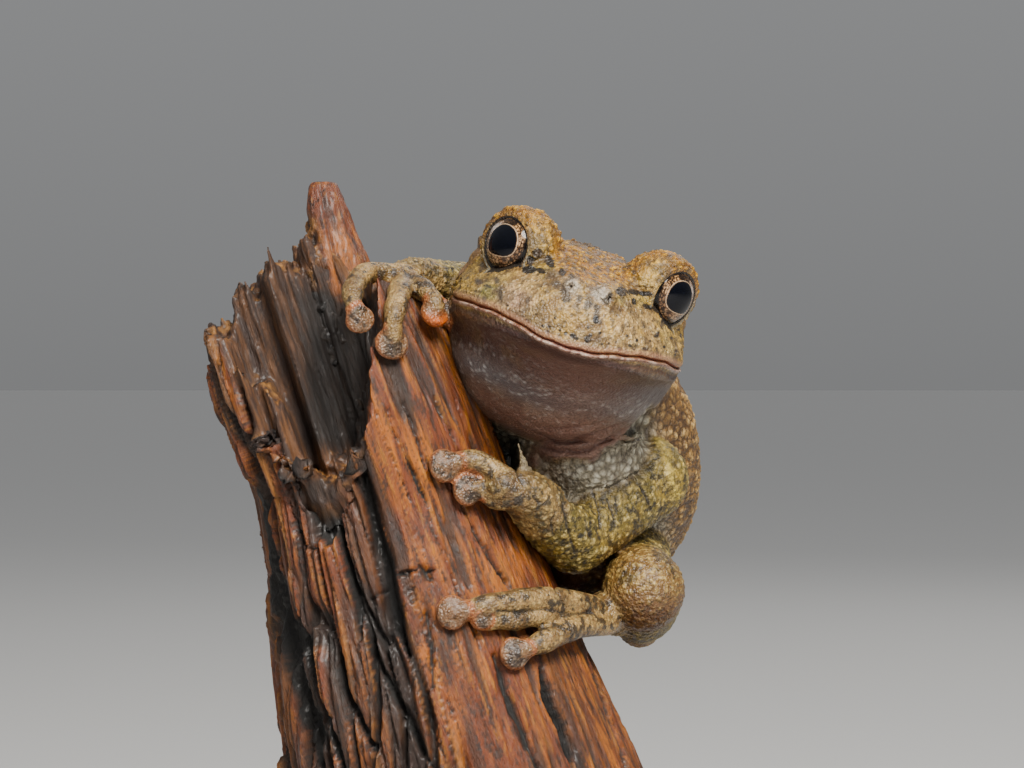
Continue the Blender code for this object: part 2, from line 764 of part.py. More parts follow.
def tarsus(heel, ankle, sole_end):
    """The long heel bones of a foot, from the heel to the root of the toes."""
    places = (heel, between(heel, ankle, 0.5), ankle, sole_end)
    return tube("tarsus", [(*place, size) for place, size in zip(places, HEEL_RADII)], 14)


def foot_left():
    parts = [tarsus(LEFT_HEEL, LEFT_TARSUS, LEFT_SOLE_END)]
    toes = [digit_rows(free, on_bark) for free, on_bark in LEFT_TOES]
    for toe in toes:
        parts += digit(toe, bark_normal(toe[-1]))
    parts += digit(LEFT_INNER_TOE, (0.94, 0, 0.3), SMALL_PAD_RADIUS)
    upper, middle, lower = toes[:3]
    parts.append(plate("web", [*upper[:3], middle[2], middle[0]], WEB_THICKNESS))
    reach = between(middle[1], middle[2], 0.5)
    lower_reach = between(lower[1], lower[2], 0.5)
    parts.append(plate("web", [middle[0], middle[1], reach, lower_reach, lower[0]], WEB_THICKNESS))
    return fused("foot_left", parts, FINE_VOXEL, 2, TRIANGLES["foot"])


def around_bark(turn, z, lift):
    """A point beside the branch at an angle from its right side, going round the back."""
    middle, radius = branch_at(z)
    a = math.radians(turn)
    return (middle + (radius + lift) * math.cos(a), BRANCH_DEPTH + (radius + lift) * math.sin(a), z)


def foot_right():
    parts = [tarsus(RIGHT_HEEL, RIGHT_TARSUS, around_bark(*RIGHT_SOLE_END))]
    toes = [[around_bark(*place) for place in toe] for toe in RIGHT_TOES]
    for toe in toes:
        parts += digit(toe, bark_normal(toe[-1]))
    for one, two in ((toes[2], toes[3]), (toes[3], toes[4])):
        parts.append(plate("web", [one[0], one[1], two[1], two[0]], WEB_THICKNESS))
    return fused("foot_right", parts, FINE_VOXEL, 2, TRIANGLES["foot"])


def finish(ob, mat, holder):
    """Gives a piece its material, puts its origin at its middle and hangs it on its holder."""
    points = np.array([vert.co for vert in ob.data.vertices])
    middle = Vector((points.min(axis=0) + points.max(axis=0)) / 2)
    ob.data.transform(Matrix.Translation(-middle))
    ob.location = middle
    ob.parent = holder
    ob.data.materials.clear()
    ob.data.materials.append(mat)
    ob.data.shade_smooth()
    ob.data.set_sharp_from_angle(angle=math.radians(50))
    return ob


def cylinder(name, centre, radius, bottom, top, sides, chamfer):
    """An upright round with chamfered rims."""
    narrow = radius - chamfer
    levels = ((bottom, narrow), (bottom + chamfer, radius), (top - chamfer, radius), (top, narrow))
    around = np.arange(sides) * 2 * math.pi / sides
    rings = []
    for level, reach in levels:
        ring = np.column_stack([np.cos(around), np.sin(around)]) * reach + centre
        rings.append([(x, y, level) for x, y in ring])
    return loft(name, rings)


def head_cutters():
    """Mouth line, eye sockets, lid openings and nostril holes."""
    cutters = [mouth_cutter()]
    for side in (-1, 1):
        axis = eye_axis(side)
        across = np.cross(axis, (0, 0, 1))
        over = np.cross(axis, across)
        middle = eye_centre(side)
        cutters.append(ball("socket", middle, EYE_RADIUS + GAP))
        opening = middle + axis * LID_WINDOW_REACH
        cutters.append(ellipsoid("window", opening, (axis, across, over), LID_WINDOW))
        hole = head_point(side * (NOSTRIL[0] + 0.25), NOSTRIL[1] - 0.62, NOSTRIL[2] + 0.25)
        cutters.append(ball("pit", hole, NOSTRIL_PIT, 2))
    return cutters


def split_at(before, after, point, normal):
    """Parts two pieces at a plane, with a gap between them."""
    clip(before, shifted(point, normal, -GAP / 2), normal)
    clip(after, shifted(point, normal, GAP / 2), -normal)


def arm(label, shoulder, elbow, wrist, hand):
    upper = segment("upper_arm_" + label, shoulder, elbow, UPPER_ARM_RADII[label], TRIANGLES["arm"])
    fore = segment("forearm_" + label, elbow, wrist, FOREARM_RADII[label], TRIANGLES["arm"])
    split_at(upper, fore, elbow, joint_normal(shoulder, elbow, wrist))
    split_at(fore, hand, between(elbow, wrist, WRIST_SHARE), toward(elbow, wrist))
    return [upper, fore]


def leg(label, hip, knee, heel, ankle, foot):
    thigh = segment("thigh_" + label, hip, knee, THIGH_RADII, TRIANGLES["thigh"])
    shank = segment("shank_" + label, knee, heel, SHANK_RADII, TRIANGLES["shank"])
    split_at(thigh, shank, knee, joint_normal(hip, knee, heel))
    split_at(shank, foot, heel, joint_normal(knee, heel, ankle))
    cut_away(foot, [thigh], GAP)
    return [thigh, shank]


def main():
    clear_scene()
    skin = material("skin_back", SKIN_BACK, 0.55)
    limb_skin = material("skin_limb", SKIN_LIMB, 0.55)
    hand_skin = material("skin_hand", SKIN_HAND, 0.45)
    eye_mat = material("eye", EYE_COLOUR, 0.1)
    bark = material("branch", BRANCH_COLOUR, 0.5)
    stand_mat = material("stand", STAND_COLOUR, 0.4)
    rod_mat = material("rod", ROD_COLOUR, 0.3, 1.0)

    perch = branch("perch")
    body = body_whole()
    neck_way = np.array(NECK_WAY)
    neck = between(head_point(0, HEAD_SECTIONS[-1][0], -MOUTH_DROP), TRUNK_SECTIONS[0][0], NECK_SHARE)
    head = duplicate(body, "head")
    torso = duplicate(body, "torso")
    bpy.data.objects.remove(body, do_unlink=True)
    split_at(head, torso, neck, neck_way)
    thinned(head, TRIANGLES["head"])
    thinned(torso, TRIANGLES["torso"])
    cutters = head_cutters()
    cut_away(head, cutters)
    for helper in cutters:
        bpy.data.objects.remove(helper, do_unlink=True)
    eyes = [ball(name, eye_centre(side), EYE_RADIUS) for name, side in (("eye_left", 1), ("eye_right", -1))]

    hands = [hand_left(), hand_right(), foot_left(), foot_right()]
    limbs = [
        *arm("left", LEFT_SHOULDER, LEFT_ELBOW, LEFT_WRIST, hands[0]),
        *arm("right", RIGHT_SHOULDER, RIGHT_ELBOW, RIGHT_WRIST, hands[1]),
        *leg("left", LEFT_HIP, LEFT_KNEE, LEFT_HEEL, LEFT_TARSUS, hands[2]),
        *leg("right", RIGHT_HIP, RIGHT_KNEE, RIGHT_HEEL, RIGHT_TARSUS, hands[3]),
    ]

    for ob in limbs + hands:
        cut_away(ob, [torso, head, perch], GAP)
    cut_away(torso, [perch], GAP)
    cut_away(head, [perch], GAP)

    base = cylinder("stand_base", BASE_CENTRE, BASE_RADIUS, FLOOR, BASE_TOP, 48, BASE_CHAMFER)
    rods = [
        cylinder(f"stand_rod_{i + 1}", place, ROD_RADIUS, BASE_TOP + GAP, BRANCH_FOOT - GAP, 20, ROD_CHAMFER)
        for i, place in enumerate(ROD_PLACES)
    ]

    frog = bpy.data.objects.new("frog", None)
    stand = bpy.data.objects.new("display_stand", None)
    for holder in (frog, stand):
        bpy.context.scene.collection.objects.link(holder)
    for ob in (head, torso):
        finish(ob, skin, frog)
    for ob in limbs:
        finish(ob, limb_skin, frog)
    for ob in hands:
        finish(ob, hand_skin, frog)
    for ob in eyes:
        finish(ob, eye_mat, frog)
    finish(perch, bark, stand)
    finish(base, stand_mat, stand)
    for ob in rods:
        finish(ob, rod_mat, stand)


main()
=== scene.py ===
"""Looks of the gray tree frog on its broken branch.

Shapes are worked out in millimetres in the view frame: X to the right, Y away from the front, Z up,
from the point level with the middle of the front view in the plane of the eyes. SHIFT brings a
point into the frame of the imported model.
"""

import math

import bmesh
import bpy
import numpy as np
from mathutils import Matrix, Vector


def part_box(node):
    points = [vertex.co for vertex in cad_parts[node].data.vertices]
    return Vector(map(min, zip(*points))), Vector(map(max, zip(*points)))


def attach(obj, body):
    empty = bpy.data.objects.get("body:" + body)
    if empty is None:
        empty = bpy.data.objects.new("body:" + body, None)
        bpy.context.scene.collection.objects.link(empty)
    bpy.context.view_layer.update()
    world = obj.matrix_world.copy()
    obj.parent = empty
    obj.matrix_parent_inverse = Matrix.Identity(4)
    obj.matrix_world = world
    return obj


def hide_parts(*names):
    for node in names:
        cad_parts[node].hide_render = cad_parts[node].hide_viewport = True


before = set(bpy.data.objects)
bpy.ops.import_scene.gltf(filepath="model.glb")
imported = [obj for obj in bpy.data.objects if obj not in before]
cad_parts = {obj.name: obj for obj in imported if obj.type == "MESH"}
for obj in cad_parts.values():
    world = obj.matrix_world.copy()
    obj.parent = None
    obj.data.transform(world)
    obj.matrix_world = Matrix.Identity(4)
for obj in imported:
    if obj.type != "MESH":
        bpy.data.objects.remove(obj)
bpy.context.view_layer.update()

MM = 0.001
SHIFT = np.array([4.0, -12.0, 46.0])

# The front view: its middle, millimetres to a step there, and how far off it is seen from
VIEW_MIDDLE = (512, 384)
VIEW_STEP = 0.068
VIEW_FAR = 193
CAMERA_BACK = 193.4
SHARP_ANGLE = 35

ROUGH_VOXEL = 0.15
SKIN_VOXEL = 0.108
WOOD_VOXEL = 0.14

# Share of red, green and blue in how bright a colour looks
LUMINANCE = np.array((0.2126, 0.7152, 0.0722))

# Branch: height, place across and radius of its axis, which stays at one depth
BRANCH_DEPTH = 6.5
BRANCH_AXIS = np.array([
    (-31.0, -2.6, 13.2), (-27.0, -3.5, 12.7), (-15.2, -6.8, 10.6), (-8.2, -8.8, 9.5), (-1.8, -11.2, 9.6),
    (4.5, -13.6, 9.2), (10.5, -15.7, 8.6),
])
BRANCH_FOOT = -29.5
BRANCH_TOP = np.array([
    (-30.0, -6.0), (-21.4, -1.8), (-20.7, 2.6), (-18.2, 6.0), (-14.8, 9.2), (-10.4, 8.0), (-7.8, 6.9),
    (-5.0, 4.6), (-3.6, 2.5), (8.0, -4.0),
])
SHELF = np.array([
    (-30.0, -3.2), (-16.7, -3.9), (-14.9, -5.0), (-12.1, -6.7), (-10.0, -4.6), (-9.3, 2.0), (-9.0, 12.0),
    (8.0, 12.0),
])
# The layer behind the shelf, its hollow beside it, and how deep both go
MIDDLE_LAYER = np.array([
    (-30.0, -1.8), (-21.0, -1.2), (-19.2, 0.4), (-16.8, 0.1), (-15.6, -1.2), (-14.6, -4.0), (-13.7, -5.9),
    (-11.3, -6.0), (-10.5, -4.0), (-9.8, 2.0), (-9.3, 12.0), (8.0, 12.0),
])
SHELF_BACK = 0.6
HOLLOW_BACK = 2.3
# How far the grain leans across for each millimetre up
GRAIN_LEAN = -0.316
SPLINTER = (
    (-10.6, 5.8, -2.0, 3.0, 2.2), (-11.6, 5.8, 3.5, 3.3, 2.6), (-12.4, 5.6, 8.3, 2.45, 2.2),
    (-12.8, 5.7, 10.6, 1.85, 1.8), (-13.0, 5.7, 12.3, 1.4, 1.5), (-13.2, 5.8, 13.9, 1.0, 1.0),
    (-13.2, 5.8, 14.15, 0.6, 0.6),
)

# Head
EYE_MIDDLE = np.array([5.3, 0.0, 7.8])
HEAD_ROLL = 17.7
HEAD_YAW = 3.0
HEAD_PITCH = 5.0
MOUTH_DROP = 4.7
# Rise of the mouth line over its level, across the face
MOUTH_RISE = np.array([
    (-8.4, -0.1), (-7.0, 0.30), (-5.5, 0.36), (-4.5, 0.28), (-3.0, 0.0), (-2.0, -0.22), (0.0, -0.27),
    (1.0, -0.20), (2.0, 0.0), (3.0, 0.23), (4.5, 0.44), (5.5, 0.52), (6.5, 0.48), (7.5, 0.23),
    (8.4, 0.05),
])
EYE_SIDE = 4.9
EYE_RADIUS = 2.4
LID_RADIUS = 2.8
EYE_OUTWARD = 44.0
LID_OPENING = 50.0
HEAD_SECTIONS = (
    (-8.25, 0.8, 1.2, 0.5, 2.0, 2.0), (-8.05, 1.9, 2.2, 0.9, 2.0, 2.0), (-7.6, 3.0, 3.0, 1.3, 2.0, 2.0),
    (-6.8, 4.2, 3.6, 1.7, 2.0, 2.0), (-5.5, 5.55, 4.2, 2.3, 1.95, 2.0), (-3.5, 6.85, 4.8, 3.3, 1.8, 2.0),
    (-1.0, 7.75, 5.5, 4.7, 1.75, 2.0), (1.5, 8.15, 5.9, 6.3, 1.8, 2.0), (4.0, 8.25, 6.0, 7.9, 2.0, 2.0),
    (7.0, 8.2, 5.8, 8.9, 2.1, 2.0),
)
TRUNK_SECTIONS = (
    ((3.8, 12.0, 1.6), (0.03, 0.88, -0.45), 27.0, 7.7, 6.2, 8.2),
    ((4.9, 17.5, -2.6), (0.10, 0.77, -0.63), 36.0, 9.4, 7.4, 7.6),
    ((5.6, 22.8, -6.8), (0.10, 0.77, -0.63), 40.0, 9.3, 7.2, 7.2),
    ((6.0, 27.3, -10.2), (0.05, 0.80, -0.60), 40.0, 7.2, 5.6, 5.8),
    ((6.1, 30.3, -12.3), (0.05, 0.80, -0.60), 40.0, 4.2, 3.6, 3.8),
    ((6.1, 31.9, -13.4), (0.05, 0.80, -0.60), 40.0, 1.3, 1.2, 1.2),
)
TYMPANUM = (6.9, 4.9, -2.0)
TYMPANUM_RADIUS = 1.4
NOSTRIL = (1.05, -6.75, -1.2)

# Limbs
LEFT_SHOULDER = (9.6, 10.2, -6.8)
LEFT_ELBOW = (4.4, 4.4, -10.9)
LEFT_WRIST = (1.0, -0.4, -7.6)
RIGHT_SHOULDER = (3.4, 14.6, 3.0)
RIGHT_ELBOW = (-2.8, 12.6, 6.6)
RIGHT_WRIST = (-7.0, 4.4, 7.5)
LEFT_HIP = (8.0, 27.0, -11.5)
LEFT_KNEE = (9.2, 5.0, -14.3)
LEFT_HEEL = (9.8, 25.5, -18.6)
LEFT_TARSUS = (8.2, 12.8, -16.8)
RIGHT_HIP = (2.6, 28.0, -8.5)
RIGHT_KNEE = (-13.4, 19.6, -0.8)
RIGHT_HEEL = (-5.2, 28.2, -13.0)
RIGHT_TARSUS = (-11.6, 20.0, -9.2)
CHEST = (4.9, 8.4, -5.6)
CHEST_SIZES = (5.0, 5.2, 4.4)
GROIN = (5.3, 13.8, -12.9)
GROIN_SIZES = (4.5, 6.2, 3.0)
LEFT_PALM_END = (-0.6, -1.7, -6.9)
LEFT_FINGERS = (
    (((-0.2, -1.6, -6.6),), ((-1.6, -5.6, 1.5), (-3.0, -5.1, 0.95), (-4.6, -5.5, 0.5)), 0.76, 1.22),
    (((0.0, -1.7, -7.6),), ((-1.2, -7.7, 1.4), (-2.1, -7.1, 1.0), (-3.1, -7.15, 0.55)), 0.76, 1.15),
    (((0.6, -0.8, -8.0),), ((0.5, -8.1, 1.0), (1.3, -8.5, 0.6)), 0.66, 0.85),
)
RIGHT_PALM_END = (-8.0, 2.4, 7.2)
RIGHT_FINGERS = (
    (
        ((-8.2, 2.4, 7.5), (-9.9, 0.9, 7.6), (-10.7, -1.2, 6.5), (-10.6, -2.7, 5.3)),
        ((-10.2, 4.3, 0.5),),
        0.72,
        1.05,
    ),
    (((-7.6, 1.9, 6.8), (-7.7, -0.6, 6.0), (-7.9, -2.5, 4.6)), ((-8.1, 2.7, 0.5),), 0.76, 1.25),
    (((-7.2, 3.6, 6.9), (-5.6, 3.2, 6.1), (-4.6, 3.4, 4.8)), (), 0.7, 1.1),
)
LIFTED_FINGER = ((-6.9, 2.4, 6.9), (-5.9, 0.9, 6.3), (-5.3, 0.1, 5.5), (-5.3, 0.2, 4.7))
LIFTED_PAD_WAY = (0.55, -0.55, 0.63)
LEFT_SOLE_END = (6.3, 4.4, -15.9)
LEFT_TOES = (
    (((6.3, 4.2, -15.7),), ((2.6, -14.5, 1.3), (-0.8, -14.7, 0.95), (-4.0, -15.2, 0.5)), 0.8, 1.22),
    (((6.0, 4.0, -16.0),), ((2.8, -15.6, 0.9), (-0.2, -15.8, 0.65), (-2.1, -15.75, 0.45)), 0.72, 0.66),
    (((6.6, 3.9, -16.6),), ((4.2, -16.6, 1.3), (2.1, -17.3, 1.0), (0.1, -18.0, 0.5)), 0.78, 1.18),
    (((6.4, 5.0, -15.8),), ((4.3, -15.4, 0.9), (3.1, -15.2, 0.5)), 0.72, 1.0),
)
LEFT_INNER_TOE = ((7.0, 6.2, -16.0), (5.3, 5.6, -16.2), (4.7, 6.6, -16.6))
RIGHT_SOLE_END = (108, -8.0, 2.6)
RIGHT_TOES = (
    ((112, -7.4, 2.2), (120, -4.6, 1.0), (124, -2.6, 0.5)),
    ((114, -7.4, 2.2), (128, -5.2, 1.1), (136, -3.4, 0.5)),
    ((116, -7.6, 2.1), (134, -6.4, 1.1), (143, -5.4, 0.5)),
    ((116, -7.9, 2.1), (134, -7.8, 1.2), (144, -7.6, 1.0), (153, -7.6, 0.5)),
    ((116, -8.2, 2.1), (130, -9.4, 1.1), (140, -10.4, 0.5)),
)
WEB_THICKNESS = 0.5


# Number helpers


def step(x, low, high):
    """0 below low, 1 above high, smooth between; the other way round if low is the larger."""
    t = np.clip((x - low) / (high - low), 0.0, 1.0)
    return t * t * (3 - 2 * t)


def bell(x, middle, width):
    return np.exp(-(((x - middle) / width) ** 2))


def mix(a, b, share):
    share = np.asarray(share)[..., None]
    return np.asarray(a) * (1 - share) + np.asarray(b) * share


def linear(colour):
    """Linear values of a colour given as it looks on a screen, 0 to 255."""
    c = np.asarray(colour, float) / 255
    return np.where(c <= 0.04045, c / 12.92, ((c + 0.055) / 1.055) ** 2.4)


def tinted(colour, tone, share):
    """A colour moved by its share towards a tone given as linear takes it."""
    return mix(colour, linear(tone), share)


def between_tones(first, second, share):
    """A tone between two that are given as linear takes them."""
    return mix(linear(first), linear(second), share)


def richer(colour, strength, least):
    """The colour with its difference from grey made stronger, and kept between least and 1."""
    grey = colour @ LUMINANCE
    return np.clip(grey[:, None] + strength * (colour - grey[:, None]), least, 1)


def hashed(cells, seed):
    """A repeatable number from 0 to 1 for each whole-number cell."""
    c = (cells.astype(np.int64) & 0xFFFFFFFF).astype(np.uint64)
    h = c[..., 0] * 0x9E3779B1 ^ c[..., 1] * 0x85EBCA77 ^ c[..., 2] * 0xC2B2AE3D
    h = (h ^ np.uint64((seed * 0x27D4EB2F + 0x165667B1) & 0xFFFFFFFF)) & 0xFFFFFFFF
    h = ((h ^ (h >> np.uint64(15))) * 0x2C1B3C6D) & 0xFFFFFFFF
    h = ((h ^ (h >> np.uint64(12))) * 0x297A2D39) & 0xFFFFFFFF
    h = h ^ (h >> np.uint64(15))
    return h.astype(np.float64) / 4294967295.0


def noise(points, seed):
    """Smooth noise from -1 to 1 with features one unit across."""
    base = np.floor(points)
    f = points - base
    f = f * f * f * (f * (f * 6 - 15) + 10)
    total = np.zeros(len(points))
    for dx in (0, 1):
        for dy in (0, 1):
            for dz in (0, 1):
                weight = (
                    (f[:, 0] if dx else 1 - f[:, 0])
                    * (f[:, 1] if dy else 1 - f[:, 1])
                    * (f[:, 2] if dz else 1 - f[:, 2])
                )
                total += weight * hashed(base + (dx, dy, dz), seed)
    return total * 2 - 1


def layered(points, seed, layers=4):
    """Noise with finer and weaker layers over it, from about -1 to 1."""
    total = np.zeros(len(points))
    size = 1.0
    for k in range(layers):
        total += size * noise(points * 2.03**k + 17.3 * k, seed + k)
        size *= 0.5
    return total / (2 - 2 ** (1 - layers))


def cells(points, seed):
    """Distances to the nearest and second nearest of seed points a unit apart, and the first's number."""
    base = np.floor(points)
    first = np.full(len(points), 9.0)
    second = np.full(len(points), 9.0)
    number = np.zeros(len(points))
    for dx in (-1, 0, 1):
        for dy in (-1, 0, 1):
            for dz in (-1, 0, 1):
                cell = base + (dx, dy, dz)
                away = np.zeros(len(points))
                for axis in range(3):
                    place = cell[:, axis] + 0.1 + 0.8 * hashed(cell, seed + 31 * axis)
                    away += (place - points[:, axis]) ** 2
                closer = away < first
                second = np.where(closer, first, np.minimum(second, away))
                number = np.where(closer, hashed(cell, seed + 97), number)
                first = np.where(closer, away, first)
    return np.sqrt(first), np.sqrt(second), number


def full_turn(sides):
    """Angles of a full turn in equal steps."""
    return np.arange(sides) * 2 * math.pi / sides


def unit(v):
    v = np.asarray(v, float)
    return v / np.linalg.norm(v, axis=-1, keepdims=True)


def front_view(points):
    """Places across and down in the front view, as steps of a picture 1024 wide and 768 high."""
    scale = VIEW_STEP * (1 + points[:, 1] / VIEW_FAR)
    return VIEW_MIDDLE[0] + points[:, 0] / scale, VIEW_MIDDLE[1] - points[:, 2] / scale


def near_line(across, down, corners):
    """Distance in the front view from a line through several corners, and the share along it."""
    corners = np.array(corners, float)
    best = np.full(len(across), 1e9)
    share = np.zeros(len(across))
    count = len(corners) - 1
    for k in range(count):
        start = corners[k]
        way = corners[k + 1] - start
        t = np.clip(((across - start[0]) * way[0] + (down - start[1]) * way[1]) / way.dot(way), 0, 1)
        d = np.hypot(across - start[0] - t * way[0], down - start[1] - t * way[1])
        closer = d < best
        best = np.where(closer, d, best)
        share = np.where(closer, (k + t) / count, share)
    return best, share


# Mesh helpers: a piece is its points in the view frame and its faces


def spline(rows, places):
    """Catmull-Rom through rows of numbers at places from 0 to 1."""
    rows = np.asarray(rows, float)
    place = np.clip(np.atleast_1d(places), 0, 1) * (len(rows) - 1)
    i = np.minimum(place.astype(int), len(rows) - 2)
    f = (place - i)[:, None]
    a = rows[np.maximum(i - 1, 0)]
    b = rows[i]
    c = rows[i + 1]
    d = rows[np.minimum(i + 2, len(rows) - 1)]
    m = (c - a) / 2
    n = (d - b) / 2
    return (
        b * (2 * f**3 - 3 * f**2 + 1)
        + m * (f**3 - 2 * f**2 + f)
        + c * (3 * f**2 - 2 * f**3)
        + n * (f**3 - f**2)
    )


def loft(rings):
    """Points and faces of a closed skin over rings of points."""
    rings = np.asarray(rings, float)
    count, sides = rings.shape[:2]
    faces = []
    for i in range(count - 1):
        for k in range(sides):
            m = (k + 1) % sides
            faces.append((i * sides + k, i * sides + m, (i + 1) * sides + m, (i + 1) * sides + k))
    faces.append(tuple(range(sides))[::-1])
    faces.append(tuple((count - 1) * sides + k for k in range(sides)))
    return rings.reshape(-1, 3), faces


def line_of(rows, spacing=0.4):
    """Centre points and radii along a smooth limb line."""
    rows = np.asarray(rows, float)
    length = np.linalg.norm(np.diff(rows[:, :3], axis=0), axis=1).sum()
    count = max(6, int(length / spacing))
    fine = spline(rows, np.linspace(0, 1, count + 1))
    return fine[:, :3], fine[:, 3]


def tube(line, radius, sides=18):
    """A limb round its line; both ends are domes."""
    tangent = unit(np.gradient(line, axis=0))
    side = np.cross(tangent[0], (0.31, 0.22, 0.93))
    turn = full_turn(sides)
    rings = []
    for i in range(len(line)):
        side = unit(side - tangent[i] * side.dot(tangent[i]))
        up = np.cross(tangent[i], side)
        circle = np.outer(np.cos(turn), side) + np.outer(np.sin(turn), up)
        ring = line[i] + circle * radius[i]
        caps = []
        if i in (0, len(line) - 1):
            sign = -1 if i == 0 else 1
            for k in (0.98, 0.9, 0.75, 0.5, 0.2):
                rise = sign * tangent[i] * radius[i] * math.sqrt(1 - k * k)
                caps.append(line[i] + rise + circle * radius[i] * k)
        if i == 0:
            rings += caps[::-1] + [ring]
        else:
            rings += [ring] + caps
    return loft(rings)


def ellipsoid(centre, axes, sizes, detail=24):
    """A ball stretched by three sizes along three directions."""
    frame3 = unit(np.array(axes, float))
    tilt = np.radians(np.linspace(-87, 87, detail))
    turn = np.arange(2 * detail) * math.pi / detail
    rings = []
    for t in tilt:
        level = np.full(len(turn), np.sin(t))
        ring = np.column_stack([np.cos(t) * np.cos(turn), np.cos(t) * np.sin(turn), level])
        rings.append(np.asarray(centre) + (ring * sizes) @ frame3)
    return loft(rings)


def ball(centre, radius, detail=24):
    return ellipsoid(centre, np.eye(3), (radius,) * 3, detail)


def plate(corners, thickness):
    """A thin web over a few corner points, as the hull of small balls at them."""
    made = bmesh.new()
    for corner in corners:
        place = Matrix.Translation(corner)
        bmesh.ops.create_icosphere(made, subdivisions=2, radius=thickness / 2, matrix=place)
    hull = bmesh.ops.convex_hull(made, input=made.verts[:])
    spare = {g for g in hull["geom_interior"] + hull["geom_unused"] if isinstance(g, bmesh.types.BMVert)}
    bmesh.ops.delete(made, geom=list(spare), context="VERTS")
    made.verts.index_update()
    points = np.array([v.co for v in made.verts])
    faces = [tuple(v.index for v in f.verts) for f in made.faces]
    made.free()
    return points, faces


def joined(pieces):
    points = []
    faces = []
    start = 0
    for piece_points, piece_faces in pieces:
        points.append(piece_points)
        faces += [tuple(k + start for k in face) for face in piece_faces]
        start += len(piece_points)
    return np.vstack(points), faces


def in_scene(name, data):
    """A new object of the scene with this name and data."""
    ob = bpy.data.objects.new(name, data)
    bpy.context.scene.collection.objects.link(ob)
    return ob


def mesh_from(name, points, faces):
    mesh = bpy.data.meshes.new(name)
    mesh.from_pydata([tuple(p) for p in points], [], faces)
    made = bmesh.new()
    made.from_mesh(mesh)
    bmesh.ops.recalc_face_normals(made, faces=made.faces[:])
    made.to_mesh(mesh)
    made.free()
    return mesh


def mesh_points(mesh):
    flat = np.empty(len(mesh.vertices) * 3, np.float32)
    mesh.vertices.foreach_get("co", flat)
    return flat.reshape(-1, 3).astype(float)


def mesh_edges(mesh):
    flat = np.empty(len(mesh.edges) * 2, np.int32)
    mesh.edges.foreach_get("vertices", flat)
    return flat.reshape(-1, 2)


def mesh_normals(mesh):
    flat = np.empty(len(mesh.vertices) * 3, np.float32)
    mesh.vertex_normals.foreach_get("vector", flat)
    return flat.reshape(-1, 3).astype(float)


def put_points(mesh, points):
    mesh.vertices.foreach_set("co", points.astype(np.float32).ravel())
    mesh.update()


def even_mesh(mesh, voxel):
    """The same form as one closed skin with its points spread evenly."""
    ob = in_scene("even_skin", mesh)
    modifier = ob.modifiers.new("Remesh", "REMESH")
    modifier.mode = "VOXEL"
    modifier.voxel_size = voxel
    bpy.context.view_layer.update()
    made = bpy.data.meshes.new_from_object(ob.evaluated_get(bpy.context.evaluated_depsgraph_get()))
    bpy.data.objects.remove(ob, do_unlink=True)
    bpy.data.meshes.remove(mesh)
    return made


def remeshed(pieces, voxel):
    """One closed skin over overlapping closed pieces."""
    return even_mesh(mesh_from("skin_pieces", *joined(pieces)), voxel)


def relaxed(points, edges, weight, rounds):
    """Each point moved towards its neighbours' mean, by its own weight, some rounds long."""
    weight = np.broadcast_to(weight, len(points))
    a = np.concatenate([edges[:, 0], edges[:, 1]])
    b = np.concatenate([edges[:, 1], edges[:, 0]])
    moving = weight[a] > 0
    a = a[moving]
    b = b[moving]
    movable = np.flatnonzero(weight > 0)
    order = np.zeros(len(points), int)
    order[movable] = np.arange(len(movable))
    a = order[a]
    share = np.maximum(np.bincount(a, minlength=len(movable)), 1)
    weight = weight[movable][:, None]
    points = points.copy()
    for _ in range(rounds):
        mean = [np.bincount(a, weights=points[b, axis], minlength=len(movable)) / share for axis in range(3)]
        points[movable] += weight * (np.column_stack(mean) - points[movable])
    return points


def refined(mesh, chosen):
    """The mesh with every edge between chosen points halved."""
    made = bmesh.new()
    made.from_mesh(mesh)
    made.verts.ensure_lookup_table()
    edges = [e for e in made.edges if chosen[e.verts[0].index] and chosen[e.verts[1].index]]
    bmesh.ops.subdivide_edges(made, edges=edges, cuts=1, use_grid_fill=True)
    made.to_mesh(mesh)
    made.free()
    mesh.update()
    return mesh


def colour_attribute(mesh, name, colours):
    attribute = mesh.attributes.new(name, "FLOAT_COLOR", "POINT")
    full = np.ones((len(colours), 4), np.float32)
    full[:, :3] = np.clip(colours, 0, 1)
    attribute.data.foreach_set("color", full.ravel())


def number_attribute(mesh, name, values):
    attribute = mesh.attributes.new(name, "FLOAT", "POINT")
    attribute.data.foreach_set("value", np.asarray(values, np.float32))


def vector_attribute(mesh, name, values):
    attribute = mesh.attributes.new(name, "FLOAT_VECTOR", "POINT")
    attribute.data.foreach_set("vector", np.asarray(values, np.float32).ravel())


def place_piece(name, mesh, mat, replaced):
    """A finished piece from a mesh in the view frame: it rides on the model and stands for CAD nodes."""
    put_points(mesh, (mesh_points(mesh) + SHIFT) * MM)
    mesh.name = name
    ob = in_scene(name, mesh)
    mesh.materials.clear()
    mesh.materials.append(mat)
    mesh.shade_smooth()
    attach(ob, "root")
    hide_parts(*replaced)
    return ob


# The branch's own measures


def branch_at(height):
    return (
        np.interp(height, BRANCH_AXIS[:, 0], BRANCH_AXIS[:, 1]),
        np.interp(height, BRANCH_AXIS[:, 0], BRANCH_AXIS[:, 2]),
    )


def bark_front(x, z, lift=0.0):
    middle, radius = branch_at(z)
    middle_up, _ = branch_at(z + 1)
    lean = math.atan2(middle - middle_up, 1.0)
    across = (x - middle) * math.cos(lean)
    depth = math.sqrt(max((radius + lift) ** 2 - across**2, 0.0))
    return np.array((x, BRANCH_DEPTH - depth, z))


def bark_normal(point):
    middle, _ = branch_at(point[2])
    middle_up, _ = branch_at(point[2] + 1)
    axis = unit((middle_up - middle, 0.0, 1.0))
    out = np.array(point) - np.array((middle, BRANCH_DEPTH, point[2]))
    return unit(out - axis * out.dot(axis))


